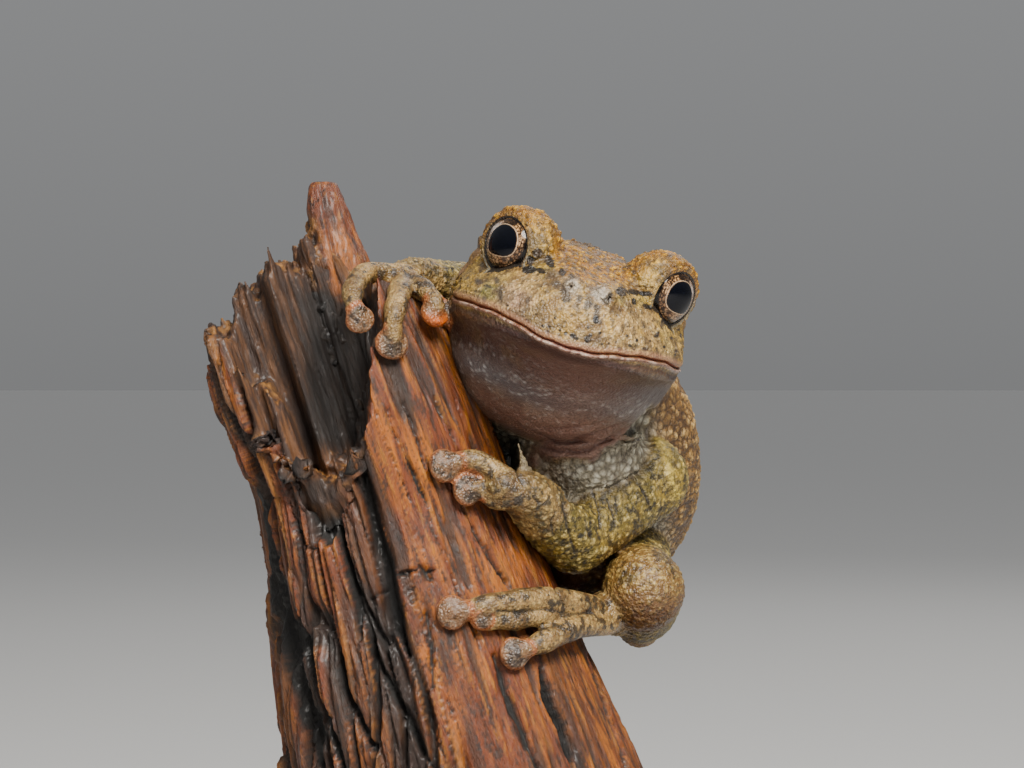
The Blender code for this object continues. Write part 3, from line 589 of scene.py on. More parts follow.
def around_bark(turn, z, lift):
    middle, radius = branch_at(z)
    a = math.radians(turn)
    return (middle + (radius + lift) * math.cos(a), BRANCH_DEPTH + (radius + lift) * math.sin(a), z)


# The frog's form


def head_frame():
    turn = (
        Matrix.Rotation(math.radians(HEAD_ROLL), 3, "Y")
        @ Matrix.Rotation(math.radians(HEAD_YAW), 3, "Z")
        @ Matrix.Rotation(math.radians(HEAD_PITCH), 3, "X")
    )
    return np.array(turn)


HEAD = head_frame()


def head_point(side, back, up):
    return EYE_MIDDLE + HEAD @ np.array((side, back, up), float)


def in_head(points):
    """Side, back and up in the head's own frame."""
    return (points - EYE_MIDDLE) @ HEAD


def body_rows():
    left = HEAD[:, 0]
    back = HEAD[:, 1]
    rows = []
    for place, width, rise, drop, above, below in HEAD_SECTIONS:
        centre = head_point(0, place, -MOUTH_DROP)
        rows.append(np.concatenate([centre, back, left, (width, rise, drop, above, below)]))
    for centre, direction, roll, width, rise, drop in TRUNK_SECTIONS:
        direction = unit(direction)
        level = unit(np.cross(direction, (0, 0, 1)))
        over = np.cross(level, direction)
        angle = math.radians(roll)
        side = math.cos(angle) * level - math.sin(angle) * over
        rows.append(np.concatenate([centre, direction, side, (width, rise, drop, 2.05, 2.0)]))
    return rows


class Body:
    """The trunk and head as a run of sections, which also gives each skin point its place on it."""

    def __init__(self, count=120):
        rows = spline(body_rows(), np.linspace(0, 1, count + 1))
        self.centre = rows[:, :3]
        self.back = unit(rows[:, 3:6])
        side = rows[:, 6:9]
        self.left = unit(side - self.back * np.sum(side * self.back, axis=1)[:, None])
        self.up = np.cross(self.left, self.back)
        self.size = rows[:, 9:]

    def piece(self, sides=96):
        turn = full_turn(sides)
        c = np.cos(turn)
        s = np.sin(turn)
        rings = []
        for k in range(len(self.centre)):
            width, rise, drop, above, below = self.size[k]
            power = np.where(s >= 0, above, below)
            x = width * np.sign(c) * np.abs(c) ** (2 / power)
            z = np.where(s >= 0, rise, drop) * np.sign(s) * np.abs(s) ** (2 / power)
            rings.append(self.centre[k] + np.outer(x, self.left[k]) + np.outer(z, self.up[k]))
        return loft(rings)

    def places(self, points):
        """Run from snout to vent, side from -1 to 1, height from -1 to 1 and gap from the skin."""
        best = np.full(len(points), 1e9)
        index = np.zeros(len(points), int)
        for k in range(len(self.centre)):
            away = np.abs((points - self.centre[k]) @ self.back[k])
            far = np.sum((points - self.centre[k]) ** 2, axis=1)
            score = away * 4 + np.sqrt(far) * 0.2
            closer = score < best
            best[closer] = score[closer]
            index[closer] = k
        rel = points - self.centre[index]
        x = np.sum(rel * self.left[index], axis=1) / self.size[index, 0]
        z = np.sum(rel * self.up[index], axis=1)
        z = np.where(z > 0, z / self.size[index, 1], z / self.size[index, 2])
        reach = np.sqrt(x * x + z * z)
        gap = (reach - 1) * self.size[index, 0]
        return index / (len(self.centre) - 1), x, z, gap


BODY = Body()


def eye_centre(side):
    return head_point(side * EYE_SIDE, 0, 0)


def eye_way(side, upward):
    out = math.radians(EYE_OUTWARD)
    up = math.radians(upward)
    local = (side * math.sin(out) * math.cos(up), -math.cos(out) * math.cos(up), math.sin(up))
    return HEAD @ np.array(local)


class Line:
    """A limb or digit: its centre line, its radii and, on a digit, its pad."""

    def __init__(self, line, radius, pad=None):
        self.line = line
        self.radius = radius
        self.pad = pad

    def places(self, points, reach=2.5):
        """Gap from this line's skin and place along it, for every point."""
        gap = np.full(len(points), 99.0)
        along = np.zeros(len(points))
        low = self.line.min(axis=0) - self.radius.max() - reach
        high = self.line.max(axis=0) + self.radius.max() + reach
        near = np.nonzero(np.all((points > low) & (points < high), axis=1))[0]
        if len(near):
            close = points[near]
            best = np.full(len(near), 99.0)
            place = np.zeros(len(near))
            for k in range(len(self.line)):
                d = np.linalg.norm(close - self.line[k], axis=1) - self.radius[k]
                closer = d < best
                best[closer] = d[closer]
                place[closer] = k / (len(self.line) - 1)
            gap[near] = best
            along[near] = place
        return gap, along


def limb(start, end, sizes):
    rows = []
    for i, size in enumerate(sizes):
        share = i / (len(sizes) - 1)
        place = np.array(start) * (1 - share) + np.array(end) * share
        rows.append((*place, size))
    return Line(*line_of(rows))


def digit(rows, tip_way, thick, pad_radius):
    """A finger or toe with knuckles, a neck before its disc, and the disc."""
    rows = np.array(rows, float)
    sized = [(*row, thick * (1.12 if i == 0 else 1.0)) for i, row in enumerate(rows)]
    line, radius = line_of(sized, 0.25)
    steps = np.linalg.norm(np.diff(line, axis=0), axis=1)
    to_tip = np.concatenate([np.cumsum(steps[::-1])[::-1], [0.0]])
    radius = radius * (1 + 0.10 * bell(to_tip, 2.6, 0.5) + 0.12 * bell(to_tip, 4.9, 0.6))
    radius = radius * (1 - 0.16 * bell(to_tip, 1.35, 0.45))
    normal = unit(tip_way)
    way = rows[-1] - rows[-2]
    along = unit(way - normal * way.dot(normal))
    across = np.cross(normal, along)
    return Line(line, radius, (rows[-1], across, along, normal, pad_radius))


def pad_piece(pad):
    centre, across, along, normal, radius = pad
    return ellipsoid(centre, (across, along, normal), (radius, radius * 0.9, 0.6))


def digit_rows(free, on_bark):
    return [*free, *(tuple(bark_front(*place)) for place in on_bark)]


def between(a, b, share):
    return np.array(a, float) * (1 - share) + np.array(b, float) * share


def digits_of_all():
    found = {"hand_left": [], "hand_right": [], "foot_left": [], "foot_right": []}
    for name, table in (("hand_left", LEFT_FINGERS), ("hand_right", RIGHT_FINGERS), ("foot_left", LEFT_TOES)):
        for free, on_bark, thick, pad_radius in table:
            rows = digit_rows(free, on_bark)
            found[name].append(digit(rows, bark_normal(rows[-1]), thick, pad_radius))
    found["hand_right"].append(digit(LIFTED_FINGER, LIFTED_PAD_WAY, 0.74, 1.15))
    found["foot_left"].append(digit(LEFT_INNER_TOE, (0.94, 0, 0.3), 0.7, 0.9))
    for toe in RIGHT_TOES:
        rows = [around_bark(*place) for place in toe]
        found["foot_right"].append(digit(rows, bark_normal(rows[-1]), 0.76, 1.15))
    return found


DIGITS = digits_of_all()
FLAP = line_of(((1.4, 0.0, -7.2, 0.55), (0.9, -0.7, -5.8, 0.36), (0.4, -1.4, -4.0, 0.17)), 0.2)
LIMBS = [
    limb(LEFT_SHOULDER, LEFT_ELBOW, (2.9, 2.75, 2.5, 2.35)),
    limb(LEFT_ELBOW, LEFT_WRIST, (2.35, 2.3, 2.05, 1.75)),
    limb(RIGHT_SHOULDER, RIGHT_ELBOW, (2.6, 2.5, 2.2, 2.1)),
    limb(RIGHT_ELBOW, RIGHT_WRIST, (2.1, 1.9, 1.6, 1.35)),
    limb(LEFT_HIP, LEFT_KNEE, (3.6, 3.5, 3.1, 2.65, 2.8)),
    limb(LEFT_KNEE, LEFT_HEEL, (2.7, 2.75, 2.55, 1.95, 1.65)),
    limb(RIGHT_HIP, RIGHT_KNEE, (3.6, 3.5, 3.1, 2.65, 2.6)),
    limb(RIGHT_KNEE, RIGHT_HEEL, (2.45, 2.7, 2.55, 1.95, 1.65)),
]
HEELS = []
for heel, ankle, sole in (
    (LEFT_HEEL, LEFT_TARSUS, LEFT_SOLE_END),
    (RIGHT_HEEL, RIGHT_TARSUS, around_bark(*RIGHT_SOLE_END)),
):
    rows = [(*heel, 1.7), (*between(heel, ankle, 0.5), 1.35), (*ankle, 1.5), (*sole, 1.45)]
    HEELS.append(Line(*line_of(rows)))
PALMS = []
for start, wrist, end, sizes in (
    (between(LEFT_ELBOW, LEFT_WRIST, 0.8), LEFT_WRIST, LEFT_PALM_END, (1.85, 1.75, 1.25)),
    (between(RIGHT_ELBOW, RIGHT_WRIST, 0.85), RIGHT_WRIST, RIGHT_PALM_END, (1.3, 1.3, 1.1)),
):
    rows = [(*start, sizes[0]), (*wrist, sizes[1]), (*end, sizes[2])]
    PALMS.append(Line(*line_of(rows)))


def frog_pieces():
    pieces = [BODY.piece()]
    for side in (-1, 1):
        pieces.append(ball(eye_centre(side), LID_RADIUS, 32))
        pieces.append(ball(head_point(side * NOSTRIL[0], NOSTRIL[1] + 0.15, NOSTRIL[2]), 0.72))
        pieces.append(ball(head_point(side * 6.2, TYMPANUM[1], TYMPANUM[2]), 1.9))
    pieces.append(ball(LEFT_SHOULDER, 3.1))
    pieces.append(ball(RIGHT_SHOULDER, 3.1))
    pieces.append(ball(LEFT_HIP, 4.3))
    pieces.append(ball(RIGHT_HIP, 4.3))
    pieces.append(ball(LEFT_KNEE, 2.85))
    pieces.append(ellipsoid(CHEST, np.eye(3), CHEST_SIZES))
    pieces.append(ellipsoid(GROIN, np.eye(3), GROIN_SIZES))
    pieces.append(tube(*FLAP, 14))
    for part in LIMBS + HEELS + PALMS:
        pieces.append(tube(part.line, part.radius))
    for group in DIGITS.values():
        for part in group:
            pieces.append(tube(part.line, part.radius, 14))
            pieces.append(pad_piece(part.pad))
    upper, middle, lower = ([digit_rows(*row[:2]) for row in LEFT_TOES])[:3]
    pieces.append(plate([*upper[:3], middle[2], middle[0]], WEB_THICKNESS))
    reach = between(middle[1], middle[2], 0.5)
    lower_reach = between(lower[1], lower[2], 0.5)
    pieces.append(plate([middle[0], middle[1], reach, lower_reach, lower[0]], WEB_THICKNESS))
    rows = [[around_bark(*place) for place in toe] for toe in RIGHT_TOES]
    for one, two in ((rows[2], rows[3]), (rows[3], rows[4])):
        pieces.append(plate([one[0], one[1], two[1], two[0]], WEB_THICKNESS))
    return pieces


def nearest_gap(lines, points):
    gap = np.full(len(points), 99.0)
    along = np.zeros(len(points))
    for part in lines:
        g, a = part.places(points)
        closer = g < gap
        gap = np.where(closer, g, gap)
        along = np.where(closer, a, along)
    return gap, along


def lid_angles(points, side):
    """Distance from an eye's centre, and angle from the middle of its lid opening."""
    rel = points - eye_centre(side)
    far = np.linalg.norm(rel, axis=1)
    cosine = np.clip(rel @ eye_way(side, -5.0) / np.maximum(far, 1e-6), -1, 1)
    return rel, far, np.degrees(np.arccos(cosine))


def mouth_height(h):
    """Signed distance over the mouth line, in the head's frame."""
    rise = np.interp(h[:, 0], MOUTH_RISE[:, 0], MOUTH_RISE[:, 1])
    return h[:, 2] + MOUTH_DROP - rise - 0.03 * np.sin(h[:, 0] * 3.1)


def lid_limit(angle):
    """Farthest that skin may stand from an eye's centre, by its angle from the middle of the opening."""
    limit = 2.05 + (EYE_RADIUS + 0.12 - 2.05) * step(angle, LID_OPENING - 3.0, LID_OPENING + 1.5)
    limit = limit + (LID_RADIUS + 0.03 - EYE_RADIUS - 0.12) * step(angle, LID_OPENING + 1.0, LID_OPENING + 11)
    return limit + 0.30 * np.maximum(0, angle - LID_OPENING - 10)


def opened_eyes(points, mask):
    """Skin in front of the eyes drawn back to the rims of the lids."""
    for side in (-1, 1):
        rel, far, angle = lid_angles(points, side)
        aside = far * np.sin(np.radians(angle))
        hold = step(angle, LID_OPENING + 28, LID_OPENING + 20) * mask * step(far, 7.5, 6.0)
        hold = hold * step(aside, 3.4, 2.8)
        new = np.minimum(far, lid_limit(angle))
        points = points + rel / far[:, None] * ((new - far) * hold)[:, None]
    return points


def skin_surface():
    """The frog's whole skin before its fine detail, with small faces at the lips, lids and nostrils."""
    mesh = remeshed(frog_pieces(), ROUGH_VOXEL)
    points = mesh_points(mesh)
    edges = mesh_edges(mesh)
    digit_lines = [part for group in DIGITS.values() for part in group]
    fine_gap, _ = nearest_gap(digit_lines, points)
    keen = step(fine_gap, 0.9, 0.2)
    root = np.zeros(len(points))
    for place, reach in (
        (LEFT_SHOULDER, 5.5),
        (RIGHT_SHOULDER, 6.0),
        (LEFT_HIP, 7.5),
        (RIGHT_HIP, 7.5),
        (LEFT_ELBOW, 2.4),
        (RIGHT_KNEE, 3.0),
    ):
        root = np.maximum(root, step(np.linalg.norm(points - np.array(place), axis=1), reach, reach * 0.7))
    points = relaxed(points, edges, 0.5 * root * (1 - keen), 45)
    nostril_gap = np.full(len(points), 99.0)
    eye_gap = np.full(len(points), 99.0)
    for side in (-1, 1):
        nostril = head_point(side * NOSTRIL[0], NOSTRIL[1], NOSTRIL[2])
        nostril_gap = np.minimum(nostril_gap, np.linalg.norm(points - nostril, axis=1))
        eye_gap = np.minimum(eye_gap, np.linalg.norm(points - eye_centre(side), axis=1))
    soft = (1 - keen) * step(nostril_gap, 0.8, 1.4) * step(eye_gap, 2.85, 3.3)
    points = relaxed(points, edges, 0.5 * soft, 10)
    head_side = step(in_head(points)[:, 1], 8.0, 6.0) * (1 - keen)
    for side in (-1, 1):
        _, far, angle = lid_angles(points, side)
        band = step(far, 2.55, 2.8) * step(far, 4.6, 3.9) * step(angle, 74, 92)
        points = relaxed(points, edges, 0.5 * band, 26)
    points = opened_eyes(points, head_side)
    put_points(mesh, points)
    mesh = even_mesh(mesh, SKIN_VOXEL)
    points = mesh_points(mesh)
    edges = mesh_edges(mesh)
    fine_gap, _ = nearest_gap(digit_lines, points)
    keen = step(fine_gap, 0.9, 0.2)
    points = relaxed(points, edges, 0.45 + 0.05 * (1 - keen), 4)
    h = in_head(points)
    above_lips = step(mouth_height(h), 0.5, 0.9) * step(h[:, 1], 6.0, 4.5) * (1 - keen)
    for side in (-1, 1):
        _, far, angle = lid_angles(points, side)
        ring = step(far, 7.0, 6.0) * step(angle, LID_OPENING + 2, LID_OPENING + 7)
        ring = ring * step(angle, LID_OPENING + 62, LID_OPENING + 52) * step(far, 2.92, 3.15)
        points = relaxed(points, edges, 0.5 * ring * above_lips, 60)
    put_points(mesh, points)

    for width in (1.0, 0.55):
        points = mesh_points(mesh)
        h = in_head(points)
        zone = np.zeros(len(points), bool)
        for side in (-1, 1):
            _, far, angle = lid_angles(points, side)
            band = (angle > LID_OPENING - 5 * width) & (angle < LID_OPENING + 12 * width)
            zone |= (far < 3.3) & band
            nostril = head_point(side * NOSTRIL[0], NOSTRIL[1], NOSTRIL[2])
            zone |= np.linalg.norm(points - nostril, axis=1) < 0.8 * width + 0.2
        lips = (np.abs(mouth_height(h)) < 0.55 * width) & (h[:, 1] < 4.6) & (np.abs(h[:, 0]) < 9.5)
        zone |= lips & (h[:, 1] > -9.5)
        if width == 1.0:
            face = (mouth_height(h) > 0.2) & (h[:, 1] < 0.3) & (np.abs(h[:, 0]) < 8.5)
            some = np.flatnonzero(face)
            zone[some[BODY.places(points[some])[3] < 1.0]] = True
        refined(mesh, zone)
    return mesh


# Upper and lower edge of the chest in the front view: places across, then places down
CHEST_TOP = ((535, 560, 590, 615, 640, 655), (453, 462, 460, 446, 420, 402))
CHEST_FOOT = ((535, 550, 562, 580, 600, 625, 645, 655), (468, 486, 498, 501, 496, 488, 476, 456))
# Skin creases of the arm and foot, in the front view: half width in millimetres, then the line
FRONT_CREASES = (
    (0.07, ((607, 500), (613, 512), (616, 526))),
    (0.07, ((640, 486), (648, 499), (652, 512))),
    (0.08, ((556, 512), (551, 523), (553, 534))),
    (0.09, ((563, 503), (567, 524), (571, 540), (575, 553))),
    (0.07, ((594, 497), (599, 510), (601, 528))),
    (0.07, ((586, 520), (588, 532), (593, 540))),
    (0.08, ((516, 470), (524, 486), (540, 504))),
    (0.09, ((498, 611), (520, 613), (545, 609), (572, 614), (590, 612))),
    (0.07, ((552, 584), (560, 596), (564, 606))),
)


def sculpt(mesh):
    """Moves the skin's points to model lids, lips, nostrils, eardrums, folds and warts."""
    points = mesh_points(mesh)
    edges = mesh_edges(mesh)
    normals = mesh_normals(mesh)
    h = in_head(points)
    run, side_share, height, body_gap = BODY.places(points)
    digit_lines = [part for group in DIGITS.values() for part in group]
    digit_gap, _ = nearest_gap(digit_lines, points)
    limb_gap, limb_along = nearest_gap(LIMBS, points)
    foot_gap, _ = nearest_gap(HEELS + PALMS, points)
    on_digit = step(digit_gap, 0.55, 0.2)
    on_limb = step(body_gap - limb_gap, -0.3, 0.9)
    in_skull = step(h[:, 1], 9.0, 6.5) * (1 - on_limb) * (1 - on_digit) * step(foot_gap, 0.3, 0.8)
    on_head = in_skull * step(body_gap, 2.2, 1.2)

    # Large forms of the head
    lift = np.zeros(len(points))
    for side in (-1, 1):
        s = h[:, 0] * side
        front = np.array((3.4, -2.6, 0.6))
        snout = np.array((1.5, -6.2, -0.5))
        way = snout - front
        place = np.column_stack([s, h[:, 1], h[:, 2]]) - front
        t = np.clip(place @ way / way.dot(way), 0, 1)
        off = np.linalg.norm(place - np.outer(t, way), axis=1)
        lift += 0.12 * bell(off, 0, 0.8)
        lore = np.array((4.2, -5.0, -2.1))
        off = np.linalg.norm(np.column_stack([s, h[:, 1], h[:, 2]]) - lore, axis=1)
        lift -= 0.28 * bell(off, 0, 1.5)
    crown = bell(h[:, 0], 0, 1.5) * bell(h[:, 1], 0.5, 2.6) * step(h[:, 2], 0.2, 1.2)
    lift -= 0.20 * crown
    under = step(h[:, 2], -MOUTH_DROP - 0.4, -MOUTH_DROP - 1.2)
    lift -= 0.50 * under * bell(h[:, 2], -MOUTH_DROP - 2.0, 1.1) * step(h[:, 1], 3.5, 0.0)
    lift += 0.30 * under * bell(h[:, 2], -MOUTH_DROP - 3.9, 0.9) * step(h[:, 1], 3.0, 0.0)
    lift += 0.75 * under * bell(h[:, 2], -MOUTH_DROP - 6.0, 1.7) * bell(h[:, 1], 2.0, 4.5)
    points = points + normals * (lift * on_head)[:, None]

    # Lips and the mouth line, which ends below the eardrum
    h = in_head(points)
    line = mouth_height(h)
    reach = step(h[:, 1], 4.2, 1.5) * on_head
    scallop = 0.5 + 0.5 * np.sin(h[:, 0] * 7.2 + 1.6 * np.sin(h[:, 0] * 2.7))
    notch = step(scallop, 0.28, 0.02)
    lips = -0.26 * bell(line, -0.01, 0.08) + 0.10 * bell(line, 0.30, 0.22)
    lips += (0.07 + 0.04 * scallop) * bell(line, -0.19, 0.12) - 0.14 * bell(line, -0.58, 0.24)
    points = points + normals * (lips * reach)[:, None]

    # Nostrils: a raised rim round a small pit
    nostril = np.zeros(len(points))
    for side in (-1, 1):
        way = unit(HEAD @ np.array((side * 0.30, -0.86, 0.18)))
        rel = points - head_point(side * (NOSTRIL[0] + 0.30), NOSTRIL[1] - 0.4, NOSTRIL[2] + 0.05)
        across = np.linalg.norm(rel - np.outer(rel @ way, way), axis=1)
        near = step(np.abs(rel @ way), 1.2, 0.8) * on_head
        pit = -0.34 * bell(across, 0, 0.16) + 0.05 * bell(across, 0.40, 0.2)
        points = points + normals * (pit * near)[:, None]
        nostril = np.maximum(nostril, bell(across, 0, 0.17) * near)

    # Eardrums: a flat disc inside a raised ring, with a fold above
    for side in (-1, 1):
        centre = head_point(side * 7.9, TYMPANUM[1], TYMPANUM[2])
        out = HEAD[:, 0] * side
        rel = points - centre
        depth = rel @ out
        ring = np.linalg.norm(rel - np.outer(depth, out), axis=1)
        near = step(np.abs(depth), 3.0, 2.0) * in_skull * (h[:, 0] * side > 4)
        drum = 0.16 * bell(ring, TYMPANUM_RADIUS, 0.16)
        drum = drum - 0.13 * step(ring, TYMPANUM_RADIUS, TYMPANUM_RADIUS - 0.4)
        drum = drum + 0.05 * bell(ring, 0, 0.35)
        points = points + out * (drum * near)[:, None]
        fold_height = h[:, 2] - (-0.25 - 0.10 * (h[:, 1] - 3.2))
        fold_reach = step(h[:, 1], 2.2, 3.2) * step(h[:, 1], 9.0, 7.4) * (h[:, 0] * side > 4)
        fold = 0.26 * bell(fold_height, 0, 0.42) - 0.10 * bell(fold_height, -0.75, 0.3)
        points = points + normals * (fold * fold_reach * in_skull)[:, None]

    # Throat folds over the chest
    middle = points[:, 0] - 4.2
    fold_line = points[:, 2] - (-5.0 + 0.09 * middle**2 + 0.08 * middle)
    wobble = 0.25 * noise(points * 0.6, 5)
    chest = bell(points[:, 0], 4.4, 3.6) * step(points[:, 1], 12.0, 9.5) * step(height, 0.1, -0.2)
    chest = chest * (1 - on_digit) * (1 - on_limb)
    folds = np.zeros(len(points))
    for place, depth in ((1.9, 0.10), (1.15, 0.17), (0.45, 0.22), (-0.35, 0.14)):
        folds -= depth * bell(fold_line + wobble, place, 0.16)
        folds += depth * 0.6 * bell(fold_line + wobble, place + 0.38, 0.25)
    points = points + normals * (folds * chest)[:, None]

    # Lids: the skin stands round the eyeball and dives under it inside the opening
    on_lid = np.zeros(len(points))
    lid_angle = np.full(len(points), 180.0)
    for side in (-1, 1):
        rel, far, angle = lid_angles(points, side)
        aside = far * np.sin(np.radians(angle))
        near = step(far, 4.3, 3.4) * step(aside, 3.35, 2.8) * (in_skull > 0.5)
        profile = lid_limit(angle)
        hold = step(angle, LID_OPENING + 9, LID_OPENING + 4) * near
        new = far * (1 - hold) + profile * hold
        ridge = 0.06 * bell(angle, LID_OPENING + 4.2, 2.4) - 0.07 * bell(angle, LID_OPENING + 9.5, 2.0)
        ridge = ridge + 0.05 * bell(angle, LID_OPENING + 15, 2.6) - 0.04 * bell(angle, LID_OPENING + 20, 2.2)
        new = new + ridge * near * step(far, 3.6, 3.1)
        points = points + rel / far[:, None] * (new - far)[:, None]
        on_lid = np.maximum(on_lid, hold)
        lid_angle = np.where(near > 0.5, np.minimum(lid_angle, angle), lid_angle)
    zone = step(lid_angle, LID_OPENING + 18, LID_OPENING + 12)
    zone = zone * step(lid_angle, LID_OPENING + 3, LID_OPENING + 7)
    points = relaxed(points, edges, 0.5 * zone, 2)

    # Pads: a rim, a dimple and fine spokes
    on_pad = np.zeros(len(points))
    pad_ring = np.full(len(points), 9.0)
    pad_turn = np.zeros(len(points))
    for part in digit_lines:
        centre, across, along, normal, radius = part.pad
        rel = points - centre
        x = rel @ across
        y = rel @ along
        z = rel @ normal
        ring = np.sqrt(x * x + y * y) / radius
        near = step(ring, 1.3, 1.12) * step(np.abs(z), 1.0, 0.7)
        turn = np.arctan2(y, x)
        rim = 0.05 * bell(ring, 0.86, 0.14) - 0.06 * bell(ring, 0.35, 0.35)
        spokes = -0.018 * (0.5 + 0.5 * np.sin(turn * 26)) * bell(ring, 0.85, 0.22)
        neck = -0.05 * bell(y / radius, -0.98, 0.14) * step(ring, 1.35, 1.2)
        change = (rim + spokes) * near * (z > -0.2) + neck * step(np.abs(z), 1.3, 0.9)
        points = points + np.outer(change * on_digit, normal)
        better = near > on_pad
        on_pad = np.where(better, near, on_pad)
        pad_ring = np.where(better, ring, pad_ring)
        pad_turn = np.where(better, turn, pad_turn)
    put_points(mesh, points)
    normals = mesh_normals(mesh)

    # Creases across the digits, near their joints
    crease = np.zeros(len(points))
    crease_shade = np.zeros(len(points))
    for part in digit_lines:
        gap, along = part.places(points)
        length = np.linalg.norm(np.diff(part.line, axis=0), axis=1).sum()
        from_tip = (1 - along) * length
        bands = bell(from_tip, 2.6, 0.45) + bell(from_tip, 4.9, 0.5) + 0.5 * bell(from_tip, 1.5, 0.25)
        wave = np.sin(from_tip * 21 + 0.8 * np.sin(from_tip * 5))
        crease += step(gap, 0.5, 0.25) * bands * wave * 0.028
        crease_shade = np.maximum(crease_shade, step(gap, 0.5, 0.25) * bands * step(wave, -0.2, -0.8))
    points = points + normals * (crease * (1 - on_pad))[:, None]

    # Warts and granules
    bare = np.maximum(on_pad, step(lid_angle, LID_OPENING + 6, LID_OPENING + 3))
    drum_bare = np.zeros(len(points))
    for side in (-1, 1):
        rel = points - head_point(side * 7.9, TYMPANUM[1], TYMPANUM[2])
        ring = np.linalg.norm(rel - np.outer(rel @ HEAD[:, 0], HEAD[:, 0]), axis=1)
        drum_bare = np.maximum(drum_bare, step(ring, 1.7, 1.4) * (h[:, 0] * side > 5.5) * in_skull)
    bare = np.maximum(bare, drum_bare)
    lip_bare = step(np.abs(line - 0.02), 0.55, 0.35) * reach
    bare = np.maximum(bare, lip_bare)
    above = step(height, -0.35, 0.05)
    back_share = (1 - on_limb) * (1 - on_digit) * above
    first, second, number = cells(points / 0.62 + 0.35 * noise(points * 1.3, 61)[:, None], 7)
    wart = step(first, 0.62, 0.12) * (0.35 + 0.65 * number)
    crack = step(second - first, 0.22, 0.02)
    fine_first, fine_second, fine_number = cells(points / 0.40 + 0.3 * noise(points * 1.7, 62)[:, None], 23)
    grain = step(fine_first, 0.62, 0.15) * (0.35 + 0.65 * fine_number)
    fine_crack = step(fine_second - fine_first, 0.25, 0.03)
    tiny_grain = np.zeros(len(points))
    some = np.flatnonzero(in_skull * (height > -0.4) * (h[:, 1] < 5) > 0.05)
    tiny_first, _, tiny_number = cells(points[some] / 0.22, 29)
    tiny_grain[some] = step(tiny_first, 0.62, 0.18) * (0.3 + 0.7 * tiny_number)
    across, down = front_view(points)
    arm_side = step(points[:, 1], 12.0, 9.0) * (on_limb + step(foot_gap, 0.7, 0.2)).clip(0, 1)
    ragged = 2.5 * noise(points * 1.4, 231)
    upper_edge = np.interp(across, CHEST_TOP[0], CHEST_TOP[1]) + ragged
    lower_edge = np.interp(across, CHEST_FOOT[0], CHEST_FOOT[1]) + ragged
    breast = step(down, upper_edge - 4, upper_edge + 4) * step(down, lower_edge + 1.5, lower_edge - 2.5)
    breast = breast * step(across, 534, 540) * step(across, 656, 648) * step(points[:, 1], 12.5, 10.5)
    breast = breast * (1 - on_digit) * step(foot_gap, 0.1, 0.5)
    groove = bell(down, lower_edge, 4.0) * step(across, 545, 556) * step(across, 660, 650)
    groove = groove * step(points[:, 1], 12.5, 10.5) * (1 - on_digit) * step(foot_gap, 0.1, 0.6)
    points = points - normals * (0.42 * breast + 0.30 * groove)[:, None]
    on_limb = on_limb * (1 - breast)
    crease_line = np.zeros(len(points))
    crease_wave = 0.05 * noise(points * 2.5, 221)
    for half, corners in FRONT_CREASES:
        off, _ = near_line(across, down, corners)
        off = off * VIEW_STEP + crease_wave
        crease_line = np.maximum(crease_line, bell(off, 0, half))
    crease_line = crease_line * np.maximum(arm_side, on_digit * (points[:, 1] < 8))
    points = points - normals * (0.16 * crease_line)[:, None]
    flank = step(run, 0.46, 0.60)
    head_top = in_skull * above
    belly = (1 - above) * (1 - on_limb) * (1 - on_digit) * step(run, 0.50, 0.56)
    throat = (1 - above) * (1 - on_limb) * (1 - on_digit) * (1 - step(run, 0.50, 0.56))
    limb_share = on_limb * (1 - on_digit)
    belly = np.maximum(belly, breast)
    rise = back_share * (0.05 + 0.11 * flank) * wart - back_share * flank * 0.05 * crack
    snout = step(h[:, 1], -1.8, -4.5)
    rise = rise + head_top * ((0.125 - 0.045 * snout) * grain + 0.035 * tiny_grain)
    rise = rise + head_top * (1 - snout) * 0.05 * wart
    small = np.maximum(0.85 * grain, wart * step(number, 0.55, 0.85))
    wart = np.where(limb_share > 0.5, small, wart)
    rise = rise + limb_share * (0.10 * small - 0.03 * fine_crack)
    hand_share = step(foot_gap, 0.7, 0.2) * (1 - on_digit)
    rise = rise + hand_share * 0.03 * grain
    rise = rise + belly * (0.10 * wart - 0.06 * crack)
    rise = rise + throat * 0.03 * grain
    rise = rise + on_digit * (1 - on_pad) * 0.012 * grain
    rise = rise + 0.05 * layered(points * 0.55, 41, 3) * (1 - on_digit) * (1 - on_lid)
    points = points + normals * (rise * (1 - bare))[:, None]
    put_points(mesh, points)

    return {
        "h": in_head(points),
        "points": points,
        "run": run,
        "side": side_share,
        "height": height,
        "on_digit": on_digit,
        "on_limb": on_limb,
        "limb_gap": limb_gap,
        "limb_along": limb_along,
        "foot": step(foot_gap, 0.7, 0.2),
        "in_skull": in_skull,
        "on_lid": on_lid,
        "lid_angle": lid_angle,
        "on_pad": on_pad,
        "pad_ring": pad_ring,
        "pad_turn": pad_turn,
        "mouth": line,
        "mouth_reach": reach,
        "wart": wart,
        "crack": crack,
        "grain": grain,
        "fine_crack": fine_crack,
        "number": number,
        "fine_number": fine_number,
        "above": above,
        "flank": flank,
        "belly": belly,
        "throat": throat,
        "drum": drum_bare,
        "chest": chest,
        "folds": folds,
        "notch": notch,
        "nostril": nostril,
        "crease_line": crease_line,
        "crease_shade": crease_shade,
        "breast": breast,
        "groove": groove,
        "tiny_grain": tiny_grain,
    }


